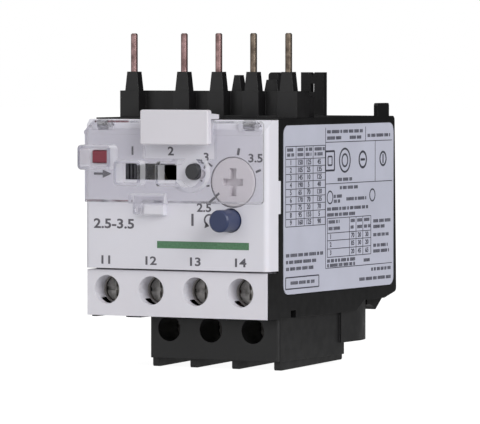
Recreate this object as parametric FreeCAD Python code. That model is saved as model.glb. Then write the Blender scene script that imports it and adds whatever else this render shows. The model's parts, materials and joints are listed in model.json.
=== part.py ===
"""Three-pole thermal overload relay that plugs in under a contactor, modelled as separate sub-parts.

Modelling frame, in millimetres: X to the right as seen from the front, Y from the front to the rear, Z up,
with zero at the middle of the front panel's lower edge. On export every sub-part is moved so that the origin
lies where the middle pole pin leaves its boss, which is the point that locates the relay on its contactor.
"""
import FreeCAD, Part
import math
import os

V = FreeCAD.Vector

# ---------------------------------------------------------------- driving dimensions
WIDTH = 45.0                 # over the front panel and the side cover
WALL = 1.8                   # moulded wall of the housing
THIN = 1.6                   # moulded wall of the front panel
FIT = 0.15                   # clearance round fixed pieces
SLIP = 0.1                   # clearance beside sliding pieces
RUN = 0.05                   # radial clearance of shafts that turn
PUSH_GAP = 0.25              # gap between pieces that push each other

PANEL_DEPTH = 4.9            # front panel, from its face back to the housing
PANEL_HEIGHT = 32.3
PANEL_EDGE = 1.1             # rounding of the panel's upright edges
PANEL_TOP_CHAMFER = 2.0
SIDE_LUG = (1.1, 12.2, 19.3)                # lug behind the panel's side: depth, bottom, top

HOUSING_RISE = 0.3           # housing above the panel
HOUSING_REAR = 60.4          # rear face at the top
REAR_DRAFT = 0.9             # how much further back it is at the foot
HOUSING_FOOT = -10.3         # underside at the front
STEP_START = 41.6            # where the underside starts to rise
STEP_END = 45.5
STEP_HEIGHT = -8.05          # underside behind the step
REAR_FOOT = -6.7             # lowest point of the rear face
REAR_CHAMFER = 5.9           # length of the sloping underside at the rear
COVER_THICK = 2.2            # side cover
OUTLINE_ROUND = 1.0
PEG_L = 6.0                  # pegs that hold the side cover
PEG_D = 2.4
FOOT_NOTCH = (10.6, 13.0, 1.6)              # notch in the cover's lower edge: front, rear, height
LUG = (5.8, 2.9, 0.9)        # rear lug of the side cover: length, height, thickness
LUG_FROM_REAR = 2.8
CLIP = (5.8, 9.7, 1.6)       # rear latch: width, height above the housing, thickness
CLIP_LEFT = -0.1
HOOK_TIP = 2.65              # depth of the hook under the rear

PIN_D = 1.5
PIN_SHANK_W = 1.0            # square shank of a pin inside its boss
PIN_Y = 16.0
PIN_LENGTH = 8.4
PIN_CHAMFER = 0.25
POLE_PITCH = 8.6
POLE_2_X = 1.9               # middle pole
COIL_PIN_SIDE = 3.2          # coil pin from the left side
AUX_PIN_SIDE = 3.4           # auxiliary pin from the right side
BLOCK_H = 5.8                # pin block above the housing
BOSS_H = 4.15
BOSS_TIP = (2.5, 2.0)        # boss section at its tip, across and front to back
BOSS_ROOT = (3.4, 2.2)
COLUMN_W = 4.6
BLOCK_SIDE = 0.2             # how far the block stays inside the housing's sides
COLUMN_FACE = 1.6            # column's front face ahead of the pins
RIB_T = 1.6
WEB_FRONT = 17.1             # wall that joins the pin columns
WEB_T = 2.2
TONGUE = (1.4, 2.4)          # tongue into the housing: beside the coil pin, and front to back
TONGUE_GAP = 2.6             # free height between the adjusting link and the tongue
POST_Y = 25.2                # second row of posts, behind poles 2 and 3
POST_H = (3.4, 2.4)          # post heights above the block
POST_TIP = (1.3, 2.0)        # section of the slender post at its tip
POST_ROOT = (2.4, 2.4)

STRIP_FRONT = 0.8
STRIP_TOP = -0.35
STRIP_PLATE = 1.8
STRIP_SIDES = (0.1, 0.45)    # how far the strip stays inside the panel's left and right sides
AUX_MARGINS = (5.0, 7.0)     # outer auxiliary terminals from the panel's left and right sides
AUX_DROP = 4.3               # terminal below the strip's top
AUX_HOLE_D = 6.2
AUX_TUBE_END = 4.9
AUX_TUBE_WALL = 0.8
AUX_HEAD_Y = 5.6
AUX_HEAD_H = 1.1
AUX_HEAD_D = 5.4
AUX_SHANK_D = 2.9
AUX_PLATE_Y = 7.9
AUX_PLATE_T = 0.8
AUX_SADDLE_T = 0.6
SADDLE_W = 5.4

LOWER_W = 31.9
LOWER_SIDE = 0.9             # lower block inside the cover's right face
LOWER_FRONT = 6.9
LOWER_REAR = 37.4
LOWER_BOTTOM = -19.6
LOWER_ROUND = 0.8
POWER_PITCH = 10.3
POWER_MARGIN = 4.9           # first power terminal from the block's left side
POWER_Z = -13.15
POWER_HOLE_D = 5.5
POWER_HEAD_Y = 15.2
POWER_HEAD_H = 1.6
POWER_HEAD_D = 5.2
POWER_SHANK_D = 3.4
POWER_W = 6.6                # width of the terminal pocket
POWER_CAGE_END = 25.9
POWER_SADDLE_T = 1.0
BAR_T = 1.2
BAR_W = 3.8
BAR_DROP_Y = 23.0            # where the bar goes down into the terminal
FIN_T = 1.5
FIN_DEPTH = 2.0              # fin height below the block at the front
FIN_RISE = 0.8               # how much less it is at the rear
FIN_FRONT = 8.4
FIN_ROUND = 0.5
TAIL_W = 10.1                # rear extension of the lower block
TAIL_SIDE = 0.4
TAIL_FRONT = 35.1
TAIL_BEND = 42.8             # where its side starts to curve inwards
TAIL_ROUND = 17.0
TAIL_REAR = 51.0
TAIL_BOTTOM = -17.0

LENS_SIDES = (0.7, 0.4)      # transparent cover inside the panel's left and right sides
LENS_BOTTOM = 14.4
LENS_DROP = 0.2              # its top below the panel's top
LENS_BACK = -0.3
LENS_T = 1.0
LENS_BAND_DROP = 3.2         # the plate is thicker above this line
LENS_BAND_T = 0.35
LENS_WALL = 0.7              # walls of the raised frames
LENS_CORNER = 2.4
HINGE_Y = 0.5
HINGE_DROP = 1.0
HINGE_SIDE = 4.5             # middle of each hinge barrel from the panel's side
BARREL_D = 2.0
BARREL_L = 2.6
HINGE_PIN_D = 1.0
CHEEK_T = 1.2
GRIP = (-10.2, -1.4)         # raised edge that lifts the cover: left and right
GRIP_FRONT = -2.5
GRIP_H = 2.05
SEAL_TAB = (-9.8, -7.9, 2.6) # tab for the sealing wire: left, right, length
CATCH = (-6.9, -2.2, -1.5, 2.4)             # catch below the cover: left, right, front, height

TEST_FRAME_FRONT = -4.7
HAND_FRAME_FRONT = -3.8
AUTO_FRAME_FRONT = -3.3
RING_D = 9.0
RING_WALL = 1.1

TAG_LEFT = -6.85             # marker tag
TAG_W = 16.7
TAG_H = 7.5
TAG_RISE = 2.15              # above the panel's top
TAG_FRONT = -3.4
TAG_PLATE = 1.6
TAG_T = 1.1
TAG_INSET = 1.3              # how far its rim is set in behind the plate
TAG_GAP = 0.45               # free space round the tag in the cover
TAG_HOOK = 4.0               # how far its top runs back over the panel

DIAL_Z = 19.05
DIAL_D = 10.6
DIAL_FRONT = -0.15
DIAL_DISC_T = 1.6
DIAL_SHAFT_D = 5.0
DIAL_SHAFT_END = 9.6
DIAL_FLAT = 0.7              # depth of the shaft's flat under the cam
CROSS = (5.9, 4.8, 1.5)      # screwdriver cross: tall bar, wide bar, bar width
CROSS_DEPTH = 1.4
DIAL_TURN = 194.0            # degrees from the lowest to the highest setting
CAM_R = 3.4
CAM_LIFT = 0.8
CAM_FRONT = 7.4
CAM_T = 1.8

RESET_SIDE = 0.65            # button to the left of the dial's middle
RESET_Z = 10.85
RESET_D = 4.8
RESET_FRONT = -5.5
RESET_TRAVEL = 3.0
RESET_FLANGE_D = 5.8
RESET_STEM_D = 3.0
RESET_STEM_END = 10.5
CUP_END = 10.2               # bottom of the spring cup in the housing
CUP_FLOOR = 0.9
CUP_WALL = 0.6

TEST_W = 3.9
TEST_Z = (22.85, 25.5)       # red lever
TEST_FRONT = -0.8
TEST_TRAVEL = 1.5
SELECTOR_W = 3.2
SELECTOR_Z = (19.4, 22.7)    # black slider
SELECTOR_TRAVEL = 9.2
INDICATOR_Z = 21.2
INDICATOR_D = 3.4
INDICATOR_FRONT = -1.4
INDICATOR_TRAVEL = 1.2
STEM_TIP_R = 0.4             # blunt end of the indicator's stem
GUIDE_T = 1.2                # flanges behind the panel that keep the sliders in
GUIDE_LIP = 0.8

SLIDE_TRAVEL = 2.0           # trip slides, towards the left
SLIDE_RIGHT = 14.0
SLIDE_FRONT = 32.5
SLIDE_REAR = 39.5
SLIDE_T = 1.4
SLIDE_Z = 21.2               # underside of the lower slide
SLIDE_STACK = 0.3            # gap between the two slides
SLIDE_TO_LEVER = 2.3
LEVER_PIVOT_Y = 24.0
TEST_TO_LEVER = 5.5          # lever's pivot from the left side of the test lever
LEVER_REAR_ARM = 12.0
LEVER_FRONT_ARM = 12.5
LEVER_W = 1.2
ROCKER_PIVOT = (-8.0, 14.0)
ROCKER_FRONT = 10.8
ROCKER_T = 1.4
ROCKER_ARM = 9.7             # pivot to the drive pin of the contact carrier
LINK_LIFT = 1.1              # adjusting link above the trip lever
LINK_T = 1.2
ANCHOR_X = -9.8              # post that the test spring rests against

CARRIER_FRONT = 8.8
CARRIER_T = 1.5
CARRIER_W = 3.0
NO_LEVEL = 1.3               # upper face of the fixed contacts that close on tripping
NC_LEVEL = 9.0               # lower face of the fixed contacts that open on tripping
BRIDGE_T = 0.7
TIP_H = 0.45
TIP_R = 0.7
BRIDGE = (-4.2, 7.6)         # ends of the moving bridges

STRIP_Y = 36.0               # middle of the bimetal strips
BIMETAL = (0.8, 5.0)         # thickness and width
BIMETAL_FOOT = -5.2
BIMETAL_TOP = 26.0
SLEEVE_T = 0.5
HEATER_TURNS = 8
HEATER_PITCH = 2.5
HEATER_H = 1.5
HEATER_T = 0.7
HEATER_FOOT = -1.3
PARTITION_T = 1.2
PARTITION_FRONT = 30.0
PARTITION_REAR = 41.5

LABEL_T = 0.15
LABEL_FRONT = 7.2
LABEL_REAR = 0.7             # label's rear edge from the cover's
LABEL_TOP = 1.5              # its top edge below the cover's
LABEL_FOOT = 5.1             # its bottom edge above the cover's
LABEL_ROUND = 2.0

# ---------------------------------------------------------------- places worked out from them
HALF = WIDTH / 2
SEAM_X = HALF - COVER_THICK
HOUSING_TOP = PANEL_HEIGHT + HOUSING_RISE
FRONT_WALL = (PANEL_DEPTH, PANEL_DEPTH + WALL)
FLOOR_TOP = HOUSING_FOOT + WALL
CEILING = HOUSING_TOP - WALL
BLOCK_TOP = HOUSING_TOP + BLOCK_H
BOSS_TOP = BLOCK_TOP + BOSS_H
PIN_TOP = BOSS_TOP + PIN_LENGTH
POLES = [POLE_2_X + (k - 1) * POLE_PITCH for k in range(3)]
COIL_PIN_X = COIL_PIN_SIDE - HALF
AUX_PIN_X = HALF - AUX_PIN_SIDE
STRIP_LEFT = STRIP_SIDES[0] - HALF
STRIP_RIGHT = HALF - STRIP_SIDES[1]
AUX_PITCH = (WIDTH - AUX_MARGINS[0] - AUX_MARGINS[1]) / 3
AUX_X = [AUX_MARGINS[0] - HALF + k * AUX_PITCH for k in range(4)]
AUX_Z = STRIP_TOP - AUX_DROP
LOWER_RIGHT = HALF - LOWER_SIDE
LOWER_LEFT = LOWER_RIGHT - LOWER_W
POWER_X = [LOWER_LEFT + POWER_MARGIN + k * POWER_PITCH for k in range(3)]
TAIL_RIGHT = HALF - TAIL_SIDE

# test lever, slider, indicator and dial stand in a row, with the free width shared out between them
ROW_FREE = WIDTH - 2 * THIN - TEST_W - TEST_TRAVEL - SELECTOR_W - SELECTOR_TRAVEL - INDICATOR_D - DIAL_D
TEST_LEFT = THIN - HALF + 0.06 * ROW_FREE
TEST_X = (TEST_LEFT, TEST_LEFT + TEST_W)
SELECTOR_LEFT = TEST_X[1] + TEST_TRAVEL + 0.27 * ROW_FREE
SELECTOR_X = (SELECTOR_LEFT, SELECTOR_LEFT + SELECTOR_W)
INDICATOR_X = SELECTOR_X[1] + SELECTOR_TRAVEL + 0.29 * ROW_FREE + INDICATOR_D / 2
DIAL_X = INDICATOR_X + INDICATOR_D / 2 + 0.24 * ROW_FREE + DIAL_D / 2
RESET_X = DIAL_X - RESET_SIDE

UPPER_SLIDE_Z = SLIDE_Z + SLIDE_T + SLIDE_STACK
LEVER_PIVOT = (TEST_LEFT + TEST_TO_LEVER, LEVER_PIVOT_Y)
SLIDE_LEFT = LEVER_PIVOT[0] + SLIDE_TO_LEVER
LINK_Z = UPPER_SLIDE_Z + SLIDE_T + LINK_LIFT
LINK_STRAP_Z = HEATER_FOOT + (HEATER_TURNS - 1) * HEATER_PITCH + HEATER_H

HINGE_Z = PANEL_HEIGHT - HINGE_DROP
HINGE_X = HALF - HINGE_SIDE
HINGE_PIN_L = BARREL_L + 2 * SLIP + 1.5 * CHEEK_T
LENS_LEFT = LENS_SIDES[0] - HALF
LENS_RIGHT = HALF - LENS_SIDES[1]
LENS_TOP = PANEL_HEIGHT - LENS_DROP
LENS_BAND_Z = PANEL_HEIGHT - LENS_BAND_DROP
LENS_FRONT = LENS_BACK - LENS_T
CATCH_TOP = LENS_BOTTOM - 2 * FIT
TAG = (TAG_LEFT, TAG_LEFT + TAG_W, PANEL_HEIGHT + TAG_RISE - TAG_H, PANEL_HEIGHT + TAG_RISE)
# raised frames of the transparent cover: left, right, bottom, top
TEST_FRAME = (TEST_X[0] - 1.5, TEST_X[1] + 2.8, TEST_Z[0] - 1.45, TEST_Z[1] + 1.3)
HAND_FRAME = (SELECTOR_X[0] - 1.1, SELECTOR_X[0] + 5.55, SELECTOR_Z[0] - 1.4, SELECTOR_Z[1] + 0.9)
AUTO_FRAME = (SELECTOR_X[0] + SELECTOR_TRAVEL - 0.2, INDICATOR_X - 2.2, SELECTOR_Z[0] - 1.5,
              SELECTOR_Z[1] + 0.7)
LABEL = (LABEL_FRONT, HOUSING_REAR - LABEL_REAR, HOUSING_FOOT + LABEL_FOOT, HOUSING_TOP - LABEL_TOP)
ORIGIN = V(POLE_2_X, PIN_Y, BOSS_TOP)


# ---------------------------------------------------------------- small geometry helpers
def box(x0, x1, y0, y1, z0, z1):
    """Return a box between two values on each axis."""
    return Part.makeBox(x1 - x0, y1 - y0, z1 - z0, V(x0, y0, z0))


def rod(axis, a, b, start, end, radius):
    """Return a cylinder along an axis; a and b are its place on the other two axes, in X, Y, Z order."""
    base = {"x": V(start, a, b), "y": V(a, start, b), "z": V(a, b, start)}[axis]
    way = {"x": V(1, 0, 0), "y": V(0, 1, 0), "z": V(0, 0, 1)}[axis]
    return Part.makeCylinder(radius, end - start, base, way)


def prism(axis, points, start, end):
    """Return a flat outline extruded along an axis; each point holds the other two coordinates in order."""
    place = {"x": lambda p: V(start, *p), "y": lambda p: V(p[0], start, p[1]),
             "z": lambda p: V(*p, start)}[axis]
    way = {"x": V(1, 0, 0), "y": V(0, 1, 0), "z": V(0, 0, 1)}[axis]
    corners = [place(p) for p in points]
    return Part.Face(Part.makePolygon(corners + corners[:1])).extrude(way * (end - start))


def taper(x, y, low, high, root, tip):
    """Return a rectangular frustum standing at x, y, between two heights."""
    rings = []
    for z, (w, d) in ((low, root), (high, tip)):
        ring = [V(x - w / 2, y - d / 2, z), V(x + w / 2, y - d / 2, z), V(x + w / 2, y + d / 2, z),
                V(x - w / 2, y + d / 2, z)]
        rings.append(Part.makePolygon(ring + ring[:1]))
    return Part.makeLoft(rings, True, True)


def join(shapes):
    """Fuse shapes into one and remove the seams between coplanar faces."""
    first, rest = shapes[0], shapes[1:]
    return first.fuse(rest).removeSplitter() if rest else first


def cut(shape, tools):
    """Cut all tools out of a shape."""
    return shape.cut(tools).removeSplitter() if tools else shape


def edges_along(shape, way, test):
    """Return the straight edges that run along a direction and whose midpoint passes a test."""
    found = []
    for edge in shape.Edges:
        if edge.Curve.TypeId != "Part::GeomLine":
            continue
        a, b = edge.Vertexes[0].Point, edge.Vertexes[-1].Point
        if abs((b - a).normalize().dot(way)) > 0.999 and test((a + b) * 0.5):
            found.append(edge)
    return found


def coil(start, way, length, mean_d, wire_d, turns):
    """Return a helical compression spring of hexagonal wire, from a start point along a direction."""
    steps = 9 * turns
    rings = []
    for k in range(steps + 1):
        turn = 2 * math.pi * k / 9
        out, along = V(math.cos(turn), math.sin(turn), 0), V(0, 0, 1)
        middle = out * (mean_d / 2) + along * (wire_d / 2 + (length - wire_d) * k / steps)
        ring = []
        for corner in range(6):
            angle = math.pi * corner / 3
            ring.append(middle + out * (wire_d / 2 * math.cos(angle)) + along * (wire_d / 2 * math.sin(angle)))
        rings.append(Part.makePolygon(ring + ring[:1]))
    spring = Part.makeLoft(rings, True, True)
    spring.Placement = FreeCAD.Placement(start, FreeCAD.Rotation(V(0, 0, 1), way))
    return spring


# ---------------------------------------------------------------- casings
def side_outline(grow=0.0):
    """Return the corners of the housing seen from the side, moved in by a wall where grow is negative."""
    points = [(PANEL_DEPTH, HOUSING_FOOT), (STEP_START, HOUSING_FOOT), (STEP_END, STEP_HEIGHT),
              (HOUSING_REAR + REAR_DRAFT - REAR_CHAMFER, STEP_HEIGHT), (HOUSING_REAR + REAR_DRAFT, REAR_FOOT),
              (HOUSING_REAR, HOUSING_TOP), (PANEL_DEPTH, HOUSING_TOP)]
    if not grow:
        return points
    corners = [V(0, y, z) for y, z in points]
    inner = Part.makePolygon(corners + corners[:1]).makeOffset2D(grow, 2)
    return [(v.Point.y, v.Point.z) for v in inner.OrderedVertexes]


def terminal_rib_places():
    """Return the middles of the ribs between the auxiliary terminals."""
    return [x - AUX_PITCH / 2 for x in AUX_X] + [AUX_X[-1] + AUX_PITCH / 2]


def wire_ribs():
    """Return the ribs that part the auxiliary wires, with feet just below the strip."""
    foot, width = 0.4, 1.8
    ribs = []
    for x in terminal_rib_places():
        left, right = max(x - width, -HALF + FIT), min(x + width, SEAM_X)
        ribs.append(box(left, right, STRIP_FRONT + STRIP_PLATE + FIT, LOWER_FRONT - FIT,
                        HOUSING_FOOT - foot, HOUSING_FOOT + 0.9))
    return ribs


def panel_windows(y0, y1, extra=0.0):
    """Return the cutters for everything that passes through the panel, widened by extra."""
    test = box(TEST_X[0] - SLIP - extra, TEST_X[1] + TEST_TRAVEL + 2 * SLIP + extra, y0, y1,
               TEST_Z[0] - SLIP - extra, TEST_Z[1] + SLIP + extra)
    selector = box(SELECTOR_X[0] - SLIP - extra, SELECTOR_X[1] + SELECTOR_TRAVEL + SLIP + extra, y0, y1,
                   SELECTOR_Z[0] - SLIP - extra, SELECTOR_Z[1] + SLIP + extra)
    return [test, selector]


def lever_front_travel():
    """Return how far the front end of the trip lever moves when the relay trips."""
    return SLIDE_TRAVEL * LEVER_FRONT_ARM / LEVER_REAR_ARM


def snap_places():
    """Return the places of the side cover's pegs, as Y and Z."""
    rear, front = HOUSING_REAR - 3.4, PANEL_DEPTH + 4.4
    top, foot = HOUSING_TOP - 3.4, FLOOR_TOP + 1.5
    return [(front, top), (rear, top), (rear + REAR_DRAFT, REAR_FOOT + 4.6), (front + 3.2, foot)]


def mounting_clip():
    """Return the upright latch at the rear that hooks behind the contactor."""
    width, height, thick = CLIP
    notch_w, notch_d, slot_w, slot_h, slot_drop = 1.2, 0.9, 0.9, 1.8, 3.5
    left, right, top = CLIP_LEFT, CLIP_LEFT + width, HOUSING_TOP + height
    middle = (left + right) / 2
    rear = HOUSING_REAR - 0.6
    plate = prism("y", [(left, CEILING), (left, top), (middle - notch_w / 2, top), (middle, top - notch_d),
                        (middle + notch_w / 2, top), (right, top), (right, CEILING)], rear - thick, rear)
    slot = box(middle - slot_w / 2, middle + slot_w / 2, rear - 2 * thick, rear + thick,
               top - slot_drop - slot_h / 2, top - slot_drop + slot_h / 2)
    return cut(plate, [slot])


def underside_hook():
    """Return the hook under the rear of the housing, hollowed by an arc on its front side."""
    front, root = TAIL_REAR + FIT, STEP_HEIGHT + 1
    arch, tip_y, heel_y = STEP_HEIGHT - 1.4, front + 4.2, front + 9.0
    start, tip = V(0, front, arch), V(0, tip_y, STEP_HEIGHT - HOOK_TIP)
    arc = Part.Arc(start, V(0, front + 2.2, arch - 0.15), tip).toShape()
    corners = [tip, V(0, heel_y, root), V(0, front, root), start]
    wire = Part.Wire([arc] + [Part.makeLine(a, b) for a, b in zip(corners, corners[1:])])
    hook = Part.Face(wire).extrude(V(TAIL_W, 0, 0))
    hook.translate(V(SEAM_X - TAIL_W, 0, 0))
    return hook


def partitions():
    """Return the walls between the heaters, with fences that guide the trip slides."""
    fence = 0.8
    walls = []
    for k in range(4):
        x = POLES[0] - POLE_PITCH / 2 + k * POLE_PITCH
        wall = box(x - PARTITION_T / 2, x + PARTITION_T / 2, PARTITION_FRONT, PARTITION_REAR,
                   FLOOR_TOP - WALL / 2, SLIDE_Z - SLIP)
        front = box(x - PARTITION_T / 2, x + PARTITION_T / 2, SLIDE_FRONT - SLIP - fence, SLIDE_FRONT - SLIP,
                    SLIDE_Z - 1, UPPER_SLIDE_Z + SLIDE_T)
        rear = box(x - PARTITION_T / 2, x + PARTITION_T / 2, SLIDE_REAR + SLIP, SLIDE_REAR + SLIP + fence,
                   SLIDE_Z - 1, UPPER_SLIDE_Z + SLIDE_T)
        walls += [wall, front, rear]
    return walls


def bar_slot(x, low, high):
    """Return the cutter of the slot through which a power bar passes."""
    half = BAR_W / 2 + 2 * FIT
    return box(x - half, x + half, BAR_DROP_Y - FIT, BAR_DROP_Y + BAR_T + FIT, low, high)


def main_housing():
    """Return the deep black case, open on the right and behind the panel's controls."""
    body = prism("x", side_outline(), -HALF, SEAM_X)
    body = body.makeFillet(OUTLINE_ROUND, edges_along(body, V(1, 0, 0), lambda m: m.y > HOUSING_REAR - 1))
    cavity = prism("x", side_outline(-WALL), -HALF + WALL, SEAM_X + 1)
    cup = rod("y", RESET_X, RESET_Z, PANEL_DEPTH, CUP_END, RESET_FLANGE_D / 2 + 2 * SLIP + CUP_WALL)
    seats = [rod("x", y, z, SEAM_X - PEG_L - 2, SEAM_X, PEG_D / 2 + 1) for y, z in snap_places()]
    bearing = rod("y", DIAL_X, DIAL_Z, PANEL_DEPTH, CAM_FRONT - SLIP, DIAL_SHAFT_D / 2 + 1.4)
    pivot = rod("y", *ROCKER_PIVOT, PANEL_DEPTH, ROCKER_FRONT - SLIP, 1.9)
    shell = join([cut(body, [cavity]), cup, bearing, pivot, mounting_clip(), underside_hook()]
                 + seats + partitions() + wire_ribs())
    low, high = FRONT_WALL[0] - 1, FRONT_WALL[1] + 1
    holes = panel_windows(low, high, FIT)
    holes.append(rod("y", DIAL_X, DIAL_Z, low, CAM_FRONT + 1, DIAL_SHAFT_D / 2 + RUN))
    holes.append(rod("y", RESET_X, RESET_Z, low, CUP_END - CUP_FLOOR, RESET_FLANGE_D / 2 + 2 * SLIP))
    holes.append(rod("y", RESET_X, RESET_Z, low, CUP_END + 1, RESET_STEM_D / 2 + SLIP))
    holes.append(rod("y", INDICATOR_X, INDICATOR_Z, low, high, INDICATOR_D / 2 + SLIP))
    holes.append(rod("y", *ROCKER_PIVOT, PANEL_DEPTH + 0.8, ROCKER_FRONT, 1.0))
    holes.append(box(-HALF + WALL, SEAM_X - WALL, low, high, FLOOR_TOP, -0.9))
    for x in AUX_X:
        holes.append(box(x - 2.9, x + 2.9, low - 3, LOWER_FRONT + 1.6, HOUSING_FOOT - 1, FLOOR_TOP + 0.1))
    for x in POWER_X:
        holes.append(bar_slot(x, HOUSING_FOOT - 1, FLOOR_TOP + 1))
    holes.append(box(COIL_PIN_X - TONGUE[0] - FIT, SEAM_X + 1, WEB_FRONT - TONGUE[1] - FIT, WEB_FRONT + FIT,
                     CEILING - 1, HOUSING_TOP + 1))
    holes += [rod("x", y, z, SEAM_X - PEG_L - 0.5, SEAM_X + 1, PEG_D / 2 + RUN) for y, z in snap_places()]
    return cut(shell, holes)


def side_cover():
    """Return the flat right-hand cover with its pegs, its rear lug and the recess for the label."""
    plate = prism("x", side_outline(), SEAM_X, HALF)
    plate = plate.makeFillet(OUTLINE_ROUND, edges_along(plate, V(1, 0, 0), lambda m: m.y > HOUSING_REAR - 1))
    nose = box(STRIP_RIGHT + FIT, HALF, STRIP_FRONT, PANEL_DEPTH + 1, HOUSING_FOOT, STRIP_TOP)
    pegs = [rod("x", y, z, SEAM_X - PEG_L, SEAM_X + 1, PEG_D / 2) for y, z in snap_places()]
    length, height, thick = LUG
    rear = HOUSING_REAR - LUG_FROM_REAR
    lug = box(HALF - thick, HALF, rear - length, rear, CEILING, HOUSING_TOP + height)
    lug = lug.makeFillet(0.6, edges_along(lug, V(1, 0, 0), lambda m: m.z > HOUSING_TOP))
    cover = join([plate, nose, lug] + pegs)
    front, rear, height = FOOT_NOTCH
    notch = box(SEAM_X - 0.1, HALF + 1, front, rear, HOUSING_FOOT - 1, HOUSING_FOOT + height)
    lug_seat = box(SEAM_X - 1, HALF + 1, PANEL_DEPTH - 1, PANEL_DEPTH + SIDE_LUG[0] + FIT, SIDE_LUG[1] - FIT,
                   SIDE_LUG[2] + FIT)
    recess = label_plate(LABEL_T * 2, FIT)
    return cut(cover, [notch, lug_seat, recess])


def label_plate(thick, grow):
    """Return the label's rounded rectangle standing on the side cover's recess."""
    front, rear, low, high = LABEL
    plate = box(HALF - LABEL_T / 2, HALF - LABEL_T / 2 + thick, front - grow, rear + grow, low - grow,
                high + grow)
    return plate.makeFillet(LABEL_ROUND + grow, edges_along(plate, V(1, 0, 0), lambda m: True))


def rear_rib(x):
    """Return one of the ribs that run back from the pin columns."""
    return box(x - RIB_T / 2, x + RIB_T / 2, WEB_FRONT + WEB_T - 0.1, POST_Y + BOSS_ROOT[1] / 2, HOUSING_TOP,
               BLOCK_TOP - 1.2)


def guide_hook():
    """Return the round-topped guide that stands behind the second post."""
    x, front, rear, top, width = POLES[2] - 1.95, POST_Y + BOSS_ROOT[1] / 2, 31.2, BOSS_TOP - FIT, 2.5
    foot = box(x - width / 2, x + width / 2, front - 0.1, rear, HOUSING_TOP, BLOCK_TOP - 2)
    post = box(x - width / 2, x + width / 2, rear - 2.4, rear, BLOCK_TOP - 3, top)
    post = post.makeFillet(0.8, edges_along(post, V(0, 1, 0), lambda m: m.z > BLOCK_TOP))
    return join([foot, post])


def pin_shank(x, low, high):
    """Return the square shank of a plug pin, also used to cut the hole that it is pressed into."""
    half = PIN_SHANK_W / 2
    return box(x - half, x + half, PIN_Y - half, PIN_Y + half, low, high)


def pin_block():
    """Return the block on top that carries the five plug pins and the rear guide posts."""
    columns = [COIL_PIN_X] + POLES + [AUX_PIN_X]
    side, face = HALF - BLOCK_SIDE, PIN_Y - COLUMN_FACE
    parts = [box(-side, side, WEB_FRONT, WEB_FRONT + WEB_T, HOUSING_TOP, BLOCK_TOP)]
    for x in columns:
        left = -side if x == COIL_PIN_X else x - COLUMN_W / 2
        right = side if x == AUX_PIN_X else x + COLUMN_W / 2
        parts.append(prism("z", [(left, WEB_FRONT), (left + 0.3, face), (right - 0.3, face), (right,
                                                                                              WEB_FRONT)],
                           HOUSING_TOP, BLOCK_TOP))
        parts.append(taper(x, PIN_Y, BLOCK_TOP, BOSS_TOP, BOSS_ROOT, BOSS_TIP))
        parts.append(rear_rib(min(max(x, -side + RIB_T / 2), side - RIB_T / 2)))
    parts.append(box(COIL_PIN_X - TONGUE[0], SEAM_X - FIT, WEB_FRONT - TONGUE[1], WEB_FRONT,
                     LINK_Z + LINK_T + TONGUE_GAP, HOUSING_TOP + 0.5))
    for x, height, root, tip in zip(POLES[1:], POST_H, (POST_ROOT, BOSS_ROOT), (POST_TIP, BOSS_TIP)):
        parts.append(box(x - root[0] / 2, x + root[0] / 2, POST_Y - root[1] / 2, POST_Y + root[1] / 2,
                         HOUSING_TOP,
                         BLOCK_TOP))
        parts.append(taper(x, POST_Y, BLOCK_TOP, BLOCK_TOP + height, root, tip))
    parts.append(guide_hook())
    return cut(join(parts), [pin_shank(x, CEILING - 3, BOSS_TOP + 1) for x in columns])


def fin_places():
    """Return the left edges of the fins under the lower block."""
    middles = [x - POWER_PITCH / 2 for x in POWER_X] + [POWER_X[-1] + POWER_PITCH / 2]
    return [min(max(x - FIN_T / 2, LOWER_LEFT), LOWER_RIGHT - FIN_T) for x in middles]


def fin(left):
    """Return one fin under the lower block, lower at the front, with rounded corners."""
    rear = LOWER_REAR
    shape = prism("x", [(FIN_FRONT, LOWER_BOTTOM + 1), (FIN_FRONT, LOWER_BOTTOM - FIN_DEPTH),
                        (rear, LOWER_BOTTOM - FIN_DEPTH + FIN_RISE), (rear,
                                                                      LOWER_BOTTOM + 1)], left, left + FIN_T)
    return shape.makeFillet(FIN_ROUND, edges_along(shape, V(1, 0, 0), lambda m: m.z < LOWER_BOTTOM))


def tail():
    """Return the rear extension of the lower block, whose right side curves inwards towards the rear."""
    left, middle = TAIL_RIGHT - TAIL_W, TAIL_RIGHT - TAIL_ROUND
    flat = box(left, TAIL_RIGHT, TAIL_FRONT, TAIL_BEND, TAIL_BOTTOM, STEP_HEIGHT + 1)
    round_end = Part.makeCylinder(TAIL_ROUND, STEP_HEIGHT + 1 - TAIL_BOTTOM,
                                  V(middle, TAIL_BEND, TAIL_BOTTOM))
    curved = round_end.common(box(left, TAIL_RIGHT, TAIL_BEND, TAIL_REAR, TAIL_BOTTOM, STEP_HEIGHT + 1))
    pocket = box(left + WALL, TAIL_RIGHT - 2 * WALL, LOWER_REAR, TAIL_REAR - WALL, TAIL_BOTTOM - 1,
                 STEP_HEIGHT - WALL)
    return cut(join([flat, curved]), [prism("x", side_outline(), -HALF, HALF + 1), pocket])


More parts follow.
